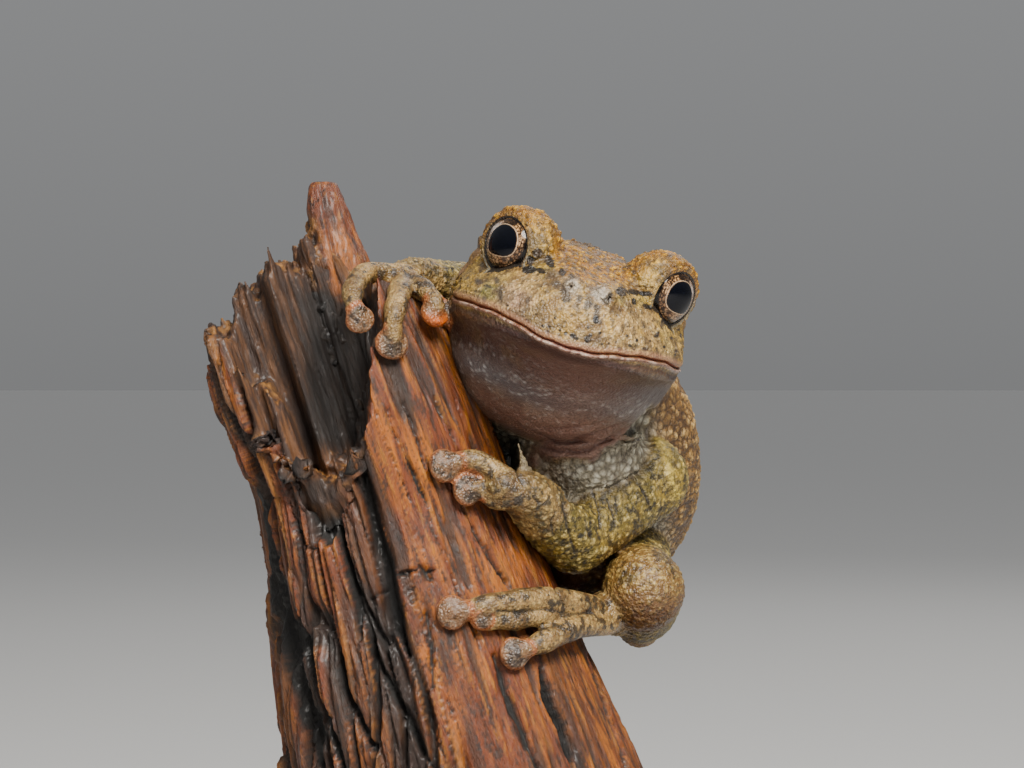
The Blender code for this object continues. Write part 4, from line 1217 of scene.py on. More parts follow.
# Marks of the face by kind, in the front view: across, down, half width, half height and lean in degrees
FACE_MARKS = {
    "olive": (
        (543.0, 266.0, 14.0, 8.5, 25), (622.0, 299.5, 5.5, 5.0, 0), (644.0, 300.0, 11.0, 6.0, 8),
    ),
    "moss": (
        (491.0, 292.0, 12.0, 8.0, 20),
    ),
    "rose": (
        (516.0, 300.0, 16.0, 10.0, 15),
    ),
    # Pale bumps by the nostrils: partly their silvery colour, partly a painted highlight
    "silver_and_sheen": (
        (572.0, 285.0, 9.0, 7.0, 15), (601.0, 294.0, 8.0, 7.0, 15),
    ),
    "grey": (
        (557.0, 284.0, 4.5, 5.0, 0), (564.0, 291.0, 4.0, 4.5, 0), (580.0, 298.5, 3.5, 4.0, 0),
        (597.0, 307.0, 4.0, 3.0, 0), (567.0, 299.0, 5.0, 4.0, 20), (588.0, 304.0, 5.0, 6.0, 0),
        (607.0, 300.0, 4.0, 5.0, 10), (597.0, 314.0, 3.4, 6.0, 0), (478.0, 281.0, 4.5, 3.0, 30),
        (497.0, 281.0, 3.0, 3.4, 20), (484.0, 299.0, 2.6, 3.0, 20), (610.0, 295.0, 3.0, 3.6, 30),
        (600.0, 322.0, 3.0, 3.0, 0), (571.0, 276.0, 3.4, 2.6, 30), (663.0, 322.0, 3.0, 5.0, 10),
        (500.5, 295.0, 2.4, 6.5, 0), (487.0, 286.0, 5.0, 1.6, 15),
    ),
    "brown": (
        (616.0, 310.0, 5.5, 5.0, 0), (551.0, 276.0, 5.0, 3.4, 30), (479.0, 285.0, 2.2, 4.0, 35),
        (573.5, 246.0, 5.5, 2.6, 20), (610.0, 261.0, 3.0, 2.0, 20), (590.0, 252.0, 4.0, 2.0, 20),
        (560.0, 250.0, 3.0, 1.8, 20), (624.0, 271.0, 3.0, 1.8, 20),
    ),
    "black": (
        (537.5, 252.5, 4.2, 4.2, 0), (530.0, 261.0, 3.0, 3.4, 0), (549.5, 262.0, 3.0, 6.0, -35),
        (530.5, 270.5, 5.5, 3.0, 5), (562.0, 272.5, 3.4, 2.4, 20), (541.0, 271.0, 4.0, 2.2, 10),
        (524.5, 270.0, 2.2, 2.6, 0), (596.0, 320.0, 2.6, 3.4, 0), (621.0, 292.0, 4.6, 3.6, 35),
        (633.5, 292.0, 4.8, 2.4, 8), (645.0, 293.8, 6.0, 1.8, 5), (633.5, 301.5, 2.0, 2.8, 0),
        (647.0, 306.5, 4.6, 2.0, 20),
    ),
    "dot": (
        (655.0, 336.0, 1.6, 1.6, 0), (560.0, 330.0, 1.4, 1.6, 0), (555.0, 318.0, 1.2, 1.2, 0),
        (627.0, 336.0, 1.4, 1.2, 0), (600.0, 333.0, 1.4, 1.4, 0), (526.0, 320.0, 1.5, 1.4, 0),
        (543.0, 326.0, 1.5, 1.5, 0), (549.0, 327.0, 1.5, 1.3, 0), (547.0, 331.5, 2.0, 1.6, 0),
        (565.5, 333.5, 1.5, 2.0, 0), (572.5, 336.0, 2.6, 2.6, 0), (577.0, 338.5, 1.8, 1.6, 0),
        (587.0, 339.5, 3.2, 2.8, 20), (590.5, 335.5, 1.8, 1.6, 0), (588.0, 327.5, 1.3, 1.3, 0),
        (602.0, 344.0, 2.0, 1.6, 0), (609.0, 343.0, 1.1, 1.2, 0), (619.5, 349.5, 2.3, 2.2, 0),
        (616.0, 342.0, 1.1, 1.1, 0), (630.0, 345.5, 2.0, 1.7, 0), (637.0, 340.0, 1.3, 1.8, 0),
        (634.0, 349.5, 1.3, 1.0, 0), (644.5, 349.5, 3.2, 2.0, 10), (650.0, 341.0, 1.3, 1.3, 0),
        (657.5, 334.0, 1.9, 3.6, 10), (671.5, 338.0, 1.6, 1.8, 0), (676.0, 351.0, 1.5, 1.6, 0),
        (664.0, 347.0, 1.4, 1.4, 0), (508.0, 305.5, 1.3, 1.3, 0), (536.0, 314.0, 1.2, 1.2, 0),
    ),
}


def paint_face(colour, at, speck):
    """The markings of the face, placed as the front view shows them."""
    across, down = front_view(at["points"])
    wobble = 0.28 * noise(at["points"] * 2.4, 171) + 0.2 * noise(at["points"] * 6.0, 172)
    front = at["in_skull"] * at["above"] * step(at["points"][:, 1], 1.5, -0.5)
    tones = {
        "olive": (linear((150, 134, 74)), 0.5, 0.9),
        "moss": (linear((112, 108, 64)), 0.66, 0.7),
        "rose": (linear((176, 146, 124)), 0.5, 0.9),
        # Partly silvery colour, partly a painted highlight
        "silver_and_sheen": (linear((190, 186, 178)), 0.52, 0.8),
        "grey": (linear((48, 45, 43)), 0.82, 0.7),
        "brown": (linear((64, 46, 28)), 0.72, 0.7),
        "black": (linear((8, 8, 9)), 0.97, 0.25),
        "dot": (linear((14, 13, 15)), 0.92, 0.4),
    }
    for kind, (tone, strength, blur) in tones.items():
        cover = np.zeros(len(colour))
        for x, y, wide, tall, lean in FACE_MARKS[kind]:
            a = math.radians(lean)
            dx = across - x
            dy = down - y
            u = (dx * math.cos(a) + dy * math.sin(a)) / wide
            v = (-dx * math.sin(a) + dy * math.cos(a)) / tall
            far = np.sqrt(u * u + v * v) * (1 + wobble) / (1.3 if kind == "black" else 1.12)
            cover = np.maximum(cover, step(far, 1.0 + blur * 0.5, 1.0 - blur * 0.7))
        if kind in ("olive", "moss", "silver_and_sheen"):
            cover = cover * (0.7 + 0.3 * step(speck, -0.3, 0.2))
        colour = mix(colour, tone, cover * strength * front)
    return colour


def paint(mesh, at):
    """The skin's colours, gloss and translucence at each point."""
    points = at["points"]
    h = at["h"]
    broad = layered(points * 0.28, 101, 3)
    patch = layered(points * 0.75, 111, 4)
    speck = layered(points * 2.6, 121, 3)
    tiny = noise(points * 7.5, 131)

    # Back and flanks: pale cobbles on brown
    ground = between_tones((84, 60, 34), (122, 92, 54), step(patch, -0.3, 0.4))
    tops = between_tones((160, 126, 80), (198, 168, 118), at["number"])
    colour = mix(ground, tops, at["wart"] * (0.35 + 0.55 * at["flank"]))
    colour = tinted(colour, (52, 36, 20), at["crack"] * (0.25 + 0.5 * at["flank"]))

    # Crown and lids: golden brown grains
    crown_ground = between_tones((92, 60, 22), (134, 92, 36), step(patch, -0.3, 0.3))
    crown_tops = between_tones((164, 118, 48), (204, 162, 84), at["fine_number"])
    crown = mix(crown_ground, crown_tops, at["grain"])
    crown = tinted(crown, (58, 42, 24), 0.35 * at["fine_crack"])
    crown = tinted(crown, (190, 158, 100), 0.30 * step(speck, 0.1, 0.5))
    colour = mix(colour, crown, at["in_skull"] * at["above"])

    # The dark cross on the back that the species wears, and loose blotches
    mark = bell(np.abs(at["side"]) - 0.25 - 0.35 * np.sin((at["run"] - 0.5) * 9), 0, 0.20)
    mark = mark * bell(at["run"], 0.62, 0.13) * step(at["height"], 0.3, 0.6)
    bar = bell(at["side"], 0, 0.22) * bell(at["run"], 0.56, 0.05) * step(at["height"], 0.3, 0.6)
    mark = np.maximum(mark, bar)
    mark = step(mark + 0.25 * patch, 0.42, 0.6)
    loose = step(patch + 0.35 * speck, 0.45, 0.62) * step(at["height"], -0.1, 0.3)
    dark = np.clip(0.85 * mark + 0.5 * loose * at["flank"], 0, 0.85)
    colour = tinted(colour, (50, 38, 26), dark)

    # Snout: paler, with cream, yellow and pinkish clouds
    snout = step(h[:, 1], -1.2, -4.2) * at["in_skull"] * step(h[:, 2], 1.0, -0.1)
    pale = between_tones((112, 88, 57), (174, 146, 102), step(patch + 0.5 * speck, -0.4, 0.45))
    pale = tinted(pale, (204, 186, 148), 0.5 * at["grain"])
    pale = tinted(pale, (110, 90, 62), 0.35 * at["fine_crack"])
    yellow = step(layered(points * 0.9 + 40, 181, 2), 0.1, 0.4)
    pale = tinted(pale, (172, 140, 76), 0.4 * yellow)
    across, down = front_view(points)
    border = np.interp(across, (530, 545, 575, 600, 625, 645, 660), (256, 266, 282, 289, 285, 277, 270))
    snout_share = snout * step(down, border - 9, border + 7 + 5 * patch)
    colour = mix(colour, pale, 0.92 * snout_share)
    cheek = step(np.abs(h[:, 0]), 4.5, 6.0) * at["in_skull"] * step(h[:, 2], 0.3, -0.8) * at["above"]
    cheek_tone = between_tones((108, 96, 58), (164, 146, 98), step(patch, -0.3, 0.3))
    colour = mix(colour, cheek_tone, 0.5 * cheek * step(h[:, 1], -5.5, -3.0))
    inner = step(np.abs(np.abs(h[:, 0]) - 3.9), 1.5, 0.4) * bell(h[:, 1], -3.2, 1.3)
    inner = inner * step(h[:, 2], -0.4, 0.4)
    colour = tinted(colour, (196, 176, 118), 0.45 * inner * at["in_skull"])

    # Small dark flecks between the grains
    fleck = step(at["fine_number"], 0.80, 0.86) * step(at["grain"], 0.25, 0.55)
    fleck = fleck * at["in_skull"] * at["above"] * step(speck, -0.1, 0.25)
    colour = tinted(colour, (36, 28, 20), 0.75 * fleck)
    colour = paint_face(colour, at, speck)
    on_front = at["in_skull"] * at["above"]
    # Painted light on the fine face grains: their tops are made lighter, with painted shade between them
    colour = mix(colour, colour * 1.45, 0.55 * at["tiny_grain"] * on_front)
    between_grains = step(at["tiny_grain"], 0.12, 0.0) * on_front * step(speck, -0.2, 0.3)
    colour = mix(colour, colour * 0.45, 0.45 * between_grains)
    mottle = step(layered(points * 1.1 + 70, 241, 3) + 0.35 * speck, 0.02, 0.26)
    colour = tinted(colour, (72, 58, 44), 0.64 * mottle * on_front)
    spots = step(layered(points * 2.9 + 30, 251, 2), 0.30, 0.44)
    colour = tinted(colour, (44, 36, 30), 0.68 * spots * on_front * step(patch, -0.35, 0.1))

    # Underside: darker throat with painted shade under the lip, grey pouch band partly painted sheen, folds
    # with painted shade in their grooves, pale cobbled chest
    throat_colour = between_tones((104, 80, 64), (134, 112, 94), step(patch, -0.3, 0.4))
    near_lip = step(at["mouth"], -4.4, -2.8) * at["in_skull"]
    # Painted shade under the lip, over the throat's own darker brown
    throat_colour = tinted(throat_colour, (48, 30, 26), 0.92 * near_lip)
    veins = step(np.abs(layered(points * 0.9, 151, 3)), 0.10, 0.02)
    throat_colour = tinted(throat_colour, (50, 30, 28), 0.5 * near_lip * veins)
    clouds = step(layered(points * 0.55 + 11, 191, 3), 0.05, 0.4)
    throat_colour = tinted(throat_colour, (84, 66, 40), 0.4 * near_lip * clouds)
    # A grey band across the pouch with whiter granules: partly the pouch's own grey, partly a painted sheen
    # of light on its bulge
    pouch = bell(at["mouth"], -4.3, 1.0) * at["in_skull"]
    throat_colour = tinted(throat_colour, (84, 88, 92), 0.8 * pouch)
    rose = step(at["mouth"], -5.0, -6.2) * at["in_skull"]
    throat_colour = tinted(throat_colour, (112, 84, 74), 0.6 * rose)
    white = at["grain"] * step(at["fine_number"], 0.45, 0.7)
    throat_colour = tinted(throat_colour, (196, 196, 192), (0.14 + 0.55 * pouch) * white)
    fold_groove_shade = at["chest"] * step(-at["folds"], 0.02, 0.12)
    throat_colour = tinted(throat_colour, (122, 90, 80), 0.5 * at["chest"])
    # Painted shade in the grooves of the throat folds
    throat_colour = tinted(throat_colour, (82, 54, 46), 0.7 * fold_groove_shade)
    colour = mix(colour, throat_colour, np.clip(at["throat"], 0, 1))
    belly_ground = between_tones((96, 88, 74), (128, 120, 102), step(patch, -0.3, 0.3))
    belly_colour = mix(belly_ground, linear((206, 202, 186)), 0.85 * at["wart"])
    belly_colour = tinted(belly_colour, (62, 54, 44), 0.6 * at["crack"])
    shade_left = step(across, 575, 545) * at["breast"]
    belly_colour = tinted(belly_colour, (96, 72, 52), 0.5 * shade_left)
    colour = mix(colour, belly_colour, np.clip(at["belly"], 0, 1))

    # Arms and legs: pale yellow warts on olive, black flecks
    limb_ground = between_tones((92, 80, 40), (132, 112, 60), step(patch, -0.3, 0.4))
    limb_tops = between_tones((184, 158, 92), (214, 194, 138), at["fine_number"])
    limb_colour = mix(limb_ground, limb_tops, 0.92 * at["wart"])
    black = step(speck + 0.45 * patch, 0.10, 0.30) * (1 - 0.55 * at["wart"])
    limb_colour = tinted(limb_colour, (26, 24, 18), 0.8 * black)
    limb_colour = tinted(limb_colour, (40, 34, 20), 0.4 * at["crack"])
    bars = step(np.sin(at["limb_along"] * 15 + 1.5 * patch), 0.72, 0.92) * step(patch, -0.2, 0.2)
    limb_colour = tinted(limb_colour, (48, 38, 24), 0.4 * bars)
    knee = step(np.linalg.norm(points - np.array(LEFT_KNEE), axis=1), 4.6, 3.0)
    knee_colour = between_tones((112, 84, 52), (190, 164, 112), at["grain"])
    knee_colour = tinted(knee_colour, (46, 40, 26), 0.65 * step(patch + 0.5 * speck, 0.16, 0.36))
    # Painted shade: the knee is made darker and browner on its lower side
    low_side = step(points[:, 2] + 0.5 * patch, LEFT_KNEE[2] + 0.9, LEFT_KNEE[2] - 1.6)
    knee_colour = tinted(knee_colour, (84, 52, 38), 0.75 * low_side)
    limb_colour = mix(limb_colour, knee_colour, 0.85 * knee)
    across, down = front_view(points)
    limb_colour = tinted(limb_colour, (20, 18, 14), 0.75 * step(tiny + 0.8 * speck, 0.42, 0.75))
    ridge, _ = near_line(across, down, ((650, 428), (663, 446), (672, 470), (676, 497)))
    ridge = ridge + 4 * speck + 2 * patch
    shoulder = at["on_limb"] * (points[:, 1] < 12)
    pebbly = 0.35 + 0.65 * at["grain"]
    # A yellow band along the shoulder ridge, with a paler painted highlight along its crest
    limb_colour = tinted(limb_colour, (176, 150, 76), 0.35 * step(ridge, 12, 3) * shoulder * pebbly)
    limb_colour = tinted(limb_colour, (206, 184, 108), 0.5 * step(ridge, 4.0, 1.0) * shoulder * pebbly)
    limb_share = at["on_limb"] * (1 - at["on_digit"]) * (1 - 0.5 * step(-at["limb_gap"], 1.2, 2.2))
    colour = mix(colour, limb_colour, limb_share)
    # Painted shade in the creases of the arm, chest and foot
    colour = tinted(colour, (30, 22, 14), 0.8 * at["crease_line"])
    # Painted shade in the groove along the lower edge of the chest
    colour = tinted(colour, (40, 34, 24), 0.6 * at["groove"] * (1 - at["breast"]))
    in_shade = step(across, 548, 553) * step(across, 612, 606) * step(down, 552, 557) * step(down, 592, 586)
    in_shade = in_shade * step(points[:, 1], 7.0, 8.5)
    shade_tone = between_tones((86, 42, 22), (44, 34, 26), step(patch, -0.1, 0.2))
    colour = mix(colour, shade_tone, 0.9 * in_shade)
    colour = tinted(colour, (150, 146, 128), 0.5 * in_shade * at["grain"] * step(patch, 0.0, 0.3))

    # Bright flash of the hidden thigh sides
    hidden = at["on_limb"] * step(points[:, 1], 19.0, 22.0) * step(points[:, 2], -9.0, -12.5)
    flash = between_tones((204, 128, 30), (40, 26, 16), step(patch + 0.3 * speck, 0.1, 0.3))
    colour = mix(colour, flash, 0.75 * hidden)

    # Hands, feet, digits and pads
    tan = between_tones((96, 74, 46), (158, 130, 88), step(patch + 0.5 * speck, -0.35, 0.35))
    tan = tinted(tan, (200, 178, 132), 0.42 * at["grain"])
    tan = tinted(tan, (92, 72, 48), 0.4 * at["fine_crack"])
    marbling = layered(points * 2.1, 161, 3) + 0.35 * speck
    tan = tinted(tan, (34, 28, 22), 0.88 * step(marbling, 0.13, 0.27))
    tan = tinted(tan, (44, 34, 26), 0.6 * step(np.abs(marbling + 0.10), 0.045, 0.012))
    # Painted shade in the creases across the digits
    tan = tinted(tan, (62, 50, 38), 0.35 * at["crease_shade"])
    hand = np.maximum(at["on_digit"], at["foot"] * 0.8)
    colour = mix(colour, tan, hand)
    # Painted shade in the same creases again, over the hands and feet
    colour = tinted(colour, (30, 24, 18), 0.75 * at["crease_line"])
    rim = between_tones((132, 78, 54), (172, 118, 84), 0.5 + 0.5 * np.sin(at["pad_turn"] * 26))
    core = between_tones((112, 84, 62), (46, 34, 28), step(patch + 0.7 * speck, -0.15, 0.15))
    core = tinted(core, (178, 160, 142), 0.40 * step(tiny, 0.3, 0.7))
    pad = mix(core, rim, step(at["pad_ring"], 0.74, 1.0))
    colour = mix(colour, pad, 0.92 * at["on_pad"])
    lifted = DIGITS["hand_right"][-1].pad
    under = step(np.linalg.norm(points - np.asarray(lifted[0]), axis=1), 1.9, 1.4)
    under = under * step(points[:, 2] + 0.25 * speck, lifted[0][2] + 0.35, lifted[0][2] - 0.35)
    colour = tinted(colour, (176, 92, 50), 0.75 * under * at["on_digit"])
    on_flap = step(Line(*FLAP).places(points)[0], 0.25, 0.1) * step(points[:, 2], -6.2, -5.6)
    colour = tinted(colour, (128, 116, 96), 0.8 * on_flap)

    # Lips
    r = at["mouth_reach"]
    upper = bell(at["mouth"], 0.24, 0.19) * r
    colour = tinted(colour, (164, 122, 100), 0.6 * upper)
    lower = step(at["mouth"], -0.40, -0.28) * step(at["mouth"], -0.04, -0.12) * r
    lip = between_tones((132, 98, 84), (178, 156, 142), step(speck, -0.3, 0.3))
    lip = tinted(lip, (96, 60, 50), 0.75 * at["notch"])
    colour = mix(colour, lip, 0.9 * lower)
    colour = tinted(colour, (116, 46, 30), 0.9 * bell(at["mouth"], 0.03, 0.09) * r)
    # Painted shade in the hollow under the lower lip
    colour = tinted(colour, (52, 28, 24), 0.85 * bell(at["mouth"], -0.72, 0.26) * r)

    # Eardrums and lids
    colour = tinted(colour, (104, 74, 46), 0.6 * at["drum"])
    angle = at["lid_angle"]
    margin = bell(angle, LID_OPENING + 3.6, 1.2) * step(at["on_lid"], 0.2, 0.6)
    eye_height = np.where(h[:, 0] > 0, eye_centre(1)[2], eye_centre(-1)[2])
    low_lid = step(points[:, 2] - eye_height, 0.4, -1.2)
    colour = tinted(colour, (126, 126, 118), (0.15 + 0.6 * low_lid) * margin)
    # Painted shade in the groove round the lid
    colour = tinted(colour, (50, 38, 24), 0.4 * bell(angle, LID_OPENING + 8.5, 1.6) * at["in_skull"])
    # Painted shade in the nostril pits
    colour = tinted(colour, (22, 18, 18), 0.9 * at["nostril"])
    # Painted shade where the lid skin dives under the eyeball
    edge = step(angle, LID_OPENING + 2.5, LID_OPENING + 1.0) * step(at["on_lid"], 0.2, 0.6)
    colour = tinted(colour, (20, 16, 14), 0.95 * edge)

    colour = colour * (1 + 0.12 * broad + 0.08 * tiny)[:, None]
    colour = richer(colour, 1.22, 0.002) * 0.86
    colour_attribute(mesh, "skin_tint", colour)
    gloss = 0.45 + (0.05 + 0.25 * snout_share) * on_front + 0.40 * knee * at["on_limb"]
    gloss = gloss + 0.45 * at["on_pad"] + 0.35 * pouch + 0.2 * lower + 0.25 * at["on_digit"]
    number_attribute(mesh, "gloss", np.clip(gloss, 0, 1))
    number_attribute(mesh, "thin", np.clip(0.35 * at["on_pad"] + 0.2 * at["on_digit"] + 0.1, 0, 1))


# Material helpers


def shader_of(name):
    mat = bpy.data.materials.new(name)
    mat.use_nodes = True
    tree = mat.node_tree
    return mat, tree, tree.nodes["Principled BSDF"]


def node(tree, kind, **values):
    made = tree.nodes.new(kind)
    for key, value in values.items():
        if hasattr(made, key):
            setattr(made, key, value)
        else:
            made.inputs[key.replace("_", " ")].default_value = value
    return made


def link(tree, source, output, target, socket):
    tree.links.new(source.outputs[output], target.inputs[socket])


def math_node(tree, operation, a, b):
    made = tree.nodes.new("ShaderNodeMath")
    made.operation = operation
    for index, value in enumerate((a, b)):
        if isinstance(value, (int, float)):
            made.inputs[index].default_value = value
        else:
            tree.links.new(value, made.inputs[index])
    return made.outputs[0]


def attribute(tree, name):
    made = tree.nodes.new("ShaderNodeAttribute")
    made.attribute_name = name
    return made


def scaled_noise(tree, vector, scale, detail=3.0, roughness=0.55):
    made = node(tree, "ShaderNodeTexNoise", Scale=scale, Detail=detail, Roughness=roughness)
    tree.links.new(vector, made.inputs["Vector"])
    return made


def bumped(tree, shader, heights, strength, distance):
    """Fine relief on the surface from a node's heights."""
    bump = node(tree, "ShaderNodeBump", Strength=strength, Distance=distance)
    tree.links.new(heights, bump.inputs["Height"])
    link(tree, bump, "Normal", shader, "Normal")


def varied_tint(tree, shader, tint, fine, window, gains, amount):
    """The base colour: a mesh's own tint, made lighter and darker by fine noise."""
    ramp = tree.nodes.new("ShaderNodeMapRange")
    limits = zip(("From Min", "From Max", "To Min", "To Max"), (*window, *gains))
    for socket, value in limits:
        ramp.inputs[socket].default_value = value
    link(tree, fine, "Fac", ramp, "Value")
    mixer = node(tree, "ShaderNodeMix", data_type="RGBA", blend_type="MULTIPLY")
    mixer.inputs["Factor"].default_value = amount
    link(tree, tint, "Color", mixer, "A")
    tree.links.new(ramp.outputs[0], mixer.inputs["B"])
    tree.links.new(mixer.outputs["Result"], shader.inputs["Base Color"])


def skin_material():
    mat, tree, shader = shader_of("moist_skin")
    tint = attribute(tree, "skin_tint")
    gloss = attribute(tree, "gloss")
    thin = attribute(tree, "thin")
    place = tree.nodes.new("ShaderNodeTexCoord").outputs["Object"]
    fine = scaled_noise(tree, place, 5200.0, 3.0)
    pores = node(tree, "ShaderNodeTexVoronoi", Scale=5600.0)
    tree.links.new(place, pores.inputs["Vector"])
    varied_tint(tree, shader, tint, fine, (0.3, 0.7), (0.6, 1.3), 0.7)
    rough = math_node(tree, "MULTIPLY", gloss.outputs["Fac"], -0.36)
    rough = math_node(tree, "ADD", rough, 0.62)
    rough = math_node(tree, "ADD", rough, math_node(tree, "MULTIPLY", fine.outputs["Fac"], 0.12))
    tree.links.new(rough, shader.inputs["Roughness"])
    heights = math_node(tree, "MULTIPLY", pores.outputs["Distance"], -0.6)
    heights = math_node(tree, "ADD", heights, math_node(tree, "MULTIPLY", fine.outputs["Fac"], 0.5))
    bumped(tree, shader, heights, 1.0, 0.00014)
    deep = math_node(tree, "MULTIPLY", thin.outputs["Fac"], 0.35)
    tree.links.new(deep, shader.inputs["Subsurface Weight"])
    shader.inputs["Subsurface Radius"].default_value = (1.0, 0.45, 0.28)
    shader.inputs["Subsurface Scale"].default_value = 0.0007
    shader.inputs["Specular IOR Level"].default_value = 0.5
    shader.inputs["Coat Weight"].default_value = 0.12
    shader.inputs["Coat Roughness"].default_value = 0.28
    return mat


def eye_piece(name, side, mat):
    """An eyeball whose front is a fine polar grid round the line of sight."""
    centre = eye_centre(side)
    axis = eye_way(side, 0.0)
    up = unit(HEAD[:, 2] - axis * HEAD[:, 2].dot(axis))
    out = np.cross(up, axis) * -side
    tilts = np.radians(np.concatenate([np.linspace(0.4, 66, 104), np.linspace(70, 178, 12)]))
    sides = 200
    turn = full_turn(sides)
    rings = []
    for t in tilts:
        flat = np.outer(np.cos(turn), out) + np.outer(np.sin(turn), up)
        rings.append(centre + EYE_RADIUS * (math.cos(t) * axis + math.sin(t) * flat))
    points, faces = loft(rings)
    mesh = mesh_from(name, points, faces)
    rel = (points - centre) / EYE_RADIUS
    x = rel @ out
    y = rel @ up
    front = rel @ axis
    ring = np.degrees(np.arccos(np.clip(front, -1, 1)))
    way = np.arctan2(y, x)
    # Pupil: wide, domed above, with a flatter lower edge and two low corners
    wide = np.where(x > 0, 0.50, 0.47)
    tall = np.where(y > 0, 0.50, 0.39)
    power = np.where(y > 0, 2.1, 2.9)
    moved = x - 0.035
    shape = (np.abs(moved / wide) ** power + np.abs(y / tall) ** power) ** (1 / power)
    shape = shape + 0.10 * (y < 0) * step(y, 0, -0.4) * (x / wide)
    pupil = step(shape, 1.02, 0.985)
    polar = np.column_stack([np.cos(way) * 3.0, np.sin(way) * 3.0, ring * 0.085])
    bend = np.column_stack([noise(polar * 1.3, 3), noise(polar * 1.3, 4), noise(polar * 1.3, 5)])
    first, second, _ = cells(polar * 1.25 + 0.6 * bend, 71)
    fine_first, fine_second, _ = cells(polar * 2.6 + 0.6 * bend, 75)
    net = np.maximum(step(second - first, 0.26, 0.09), 0.9 * step(fine_second - fine_first, 0.19, 0.06))
    patch = layered(polar * 0.7, 91, 3)
    cream = between_tones((138, 102, 72), (190, 154, 116), step(patch, -0.3, 0.3))
    cream = tinted(cream, (198, 146, 84), step(y, 0.2, 0.5) * 0.6)
    # Painted reflection of the key light: the upper inner part of the iris is painted near white, and its
    # dark net and blots are thinned there
    iris_reflection = bell(y, 0.34, 0.22) * step(x, -0.05, -0.35)
    cream = tinted(cream, (220, 208, 200), 0.85 * iris_reflection)
    net = net * (1 - 0.55 * iris_reflection)
    colour = mix(cream, linear((30, 18, 12)), np.clip(net * (0.85 + 0.4 * step(ring, 30, 44)), 0, 0.96))
    blots = step(layered(polar * 0.9 + 5, 97, 2), 0.05, 0.22) * step(y, 0.2, 0.42) * (1 - iris_reflection)
    colour = tinted(colour, (26, 16, 10), 0.9 * blots)
    lines = 0.5 + 0.5 * np.sin(ring * 1.6 + 2.5 * patch)
    colour = tinted(colour, (24, 15, 11), 0.9 * lines * step(ring, 35.0, 43.0))
    colour = tinted(colour, (206, 178, 146), 0.85 * bell(shape, 1.045, 0.017))
    colour = tinted(colour, (12, 10, 10), step(ring, 43.5, 47.0))
    colour = mix(colour, np.array((0.0012, 0.0016, 0.0035)), pupil)
    colour_attribute(mesh, "iris_tint", colour)
    number_attribute(mesh, "iris_share", 1 - pupil)
    place_piece(name, mesh, mat, ["eye_left" if side > 0 else "eye_right"])


def eye_material():
    mat, tree, shader = shader_of("wet_eye")
    tint = attribute(tree, "iris_tint")
    share = attribute(tree, "iris_share")
    place = tree.nodes.new("ShaderNodeTexCoord").outputs["Object"]
    fine = scaled_noise(tree, place, 7000.0, 2.0)
    varied_tint(tree, shader, tint, fine, (0.35, 0.65), (0.7, 1.2), 0.6)
    metal = math_node(tree, "MULTIPLY", share.outputs["Fac"], 0.35)
    tree.links.new(metal, shader.inputs["Metallic"])
    shader.inputs["Roughness"].default_value = 0.5
    shader.inputs["Specular IOR Level"].default_value = 0.0
    shader.inputs["Coat Weight"].default_value = 1.0
    shader.inputs["Coat Roughness"].default_value = 0.04
    shader.inputs["Coat IOR"].default_value = 1.3
    return mat


# Wood


def along_grain(points):
    """Place across with the lean of the grain taken out."""
    return points[..., 0] - GRAIN_LEAN * points[..., 2]


def profile(table, across):
    """A break line's height over places across that are followed along the grain."""
    return np.interp(across, table[:, 0] - GRAIN_LEAN * table[:, 1], table[:, 1])


def broken_height(across, y):
    """Height of the broken top: a low front layer, a second layer beside a hollow, and the high rest."""
    wide = np.column_stack([across * 1.15, y * 0.5, np.zeros_like(y)])
    fine = np.column_stack([across * 3.1, y * 0.9, np.ones_like(y)])
    jag = 0.35 * np.sin(2.3 * across + 0.8 * y) + 0.25 * np.sin(3.9 * across - 1.7 * y + 1.0)
    chips = 0.75 * noise(wide, 201) + 0.5 * noise(fine, 202) + 0.25 * noise(fine * 2.3, 203)
    high = profile(BRANCH_TOP, across) + jag - 0.12 * np.maximum(0.0, y - BRANCH_DEPTH)
    left = step(across, -6.5, -11.0)
    high = high + 1.3 * chips * left
    low = np.minimum(high, profile(SHELF, across) + jag + 0.8 * chips)
    middle = np.minimum(high, np.maximum(low - 1.2, profile(MIDDLE_LAYER, across) + 0.8 * jag + 1.2 * chips))
    slots = np.column_stack([across * 1.2, y * 0.1, np.full_like(y, 3.0)])
    groove = 0.5 * noise(slots, 205) + 0.25 * noise(slots * 2.6, 206)
    first = step(y - SHELF_BACK + groove, 0.0, 0.5)
    second = step(y - HOLLOW_BACK - 1.3 * noise(slots * 0.7, 207) + groove, 0.0, 0.5)
    return low + (middle - low) * first + (high - middle) * second


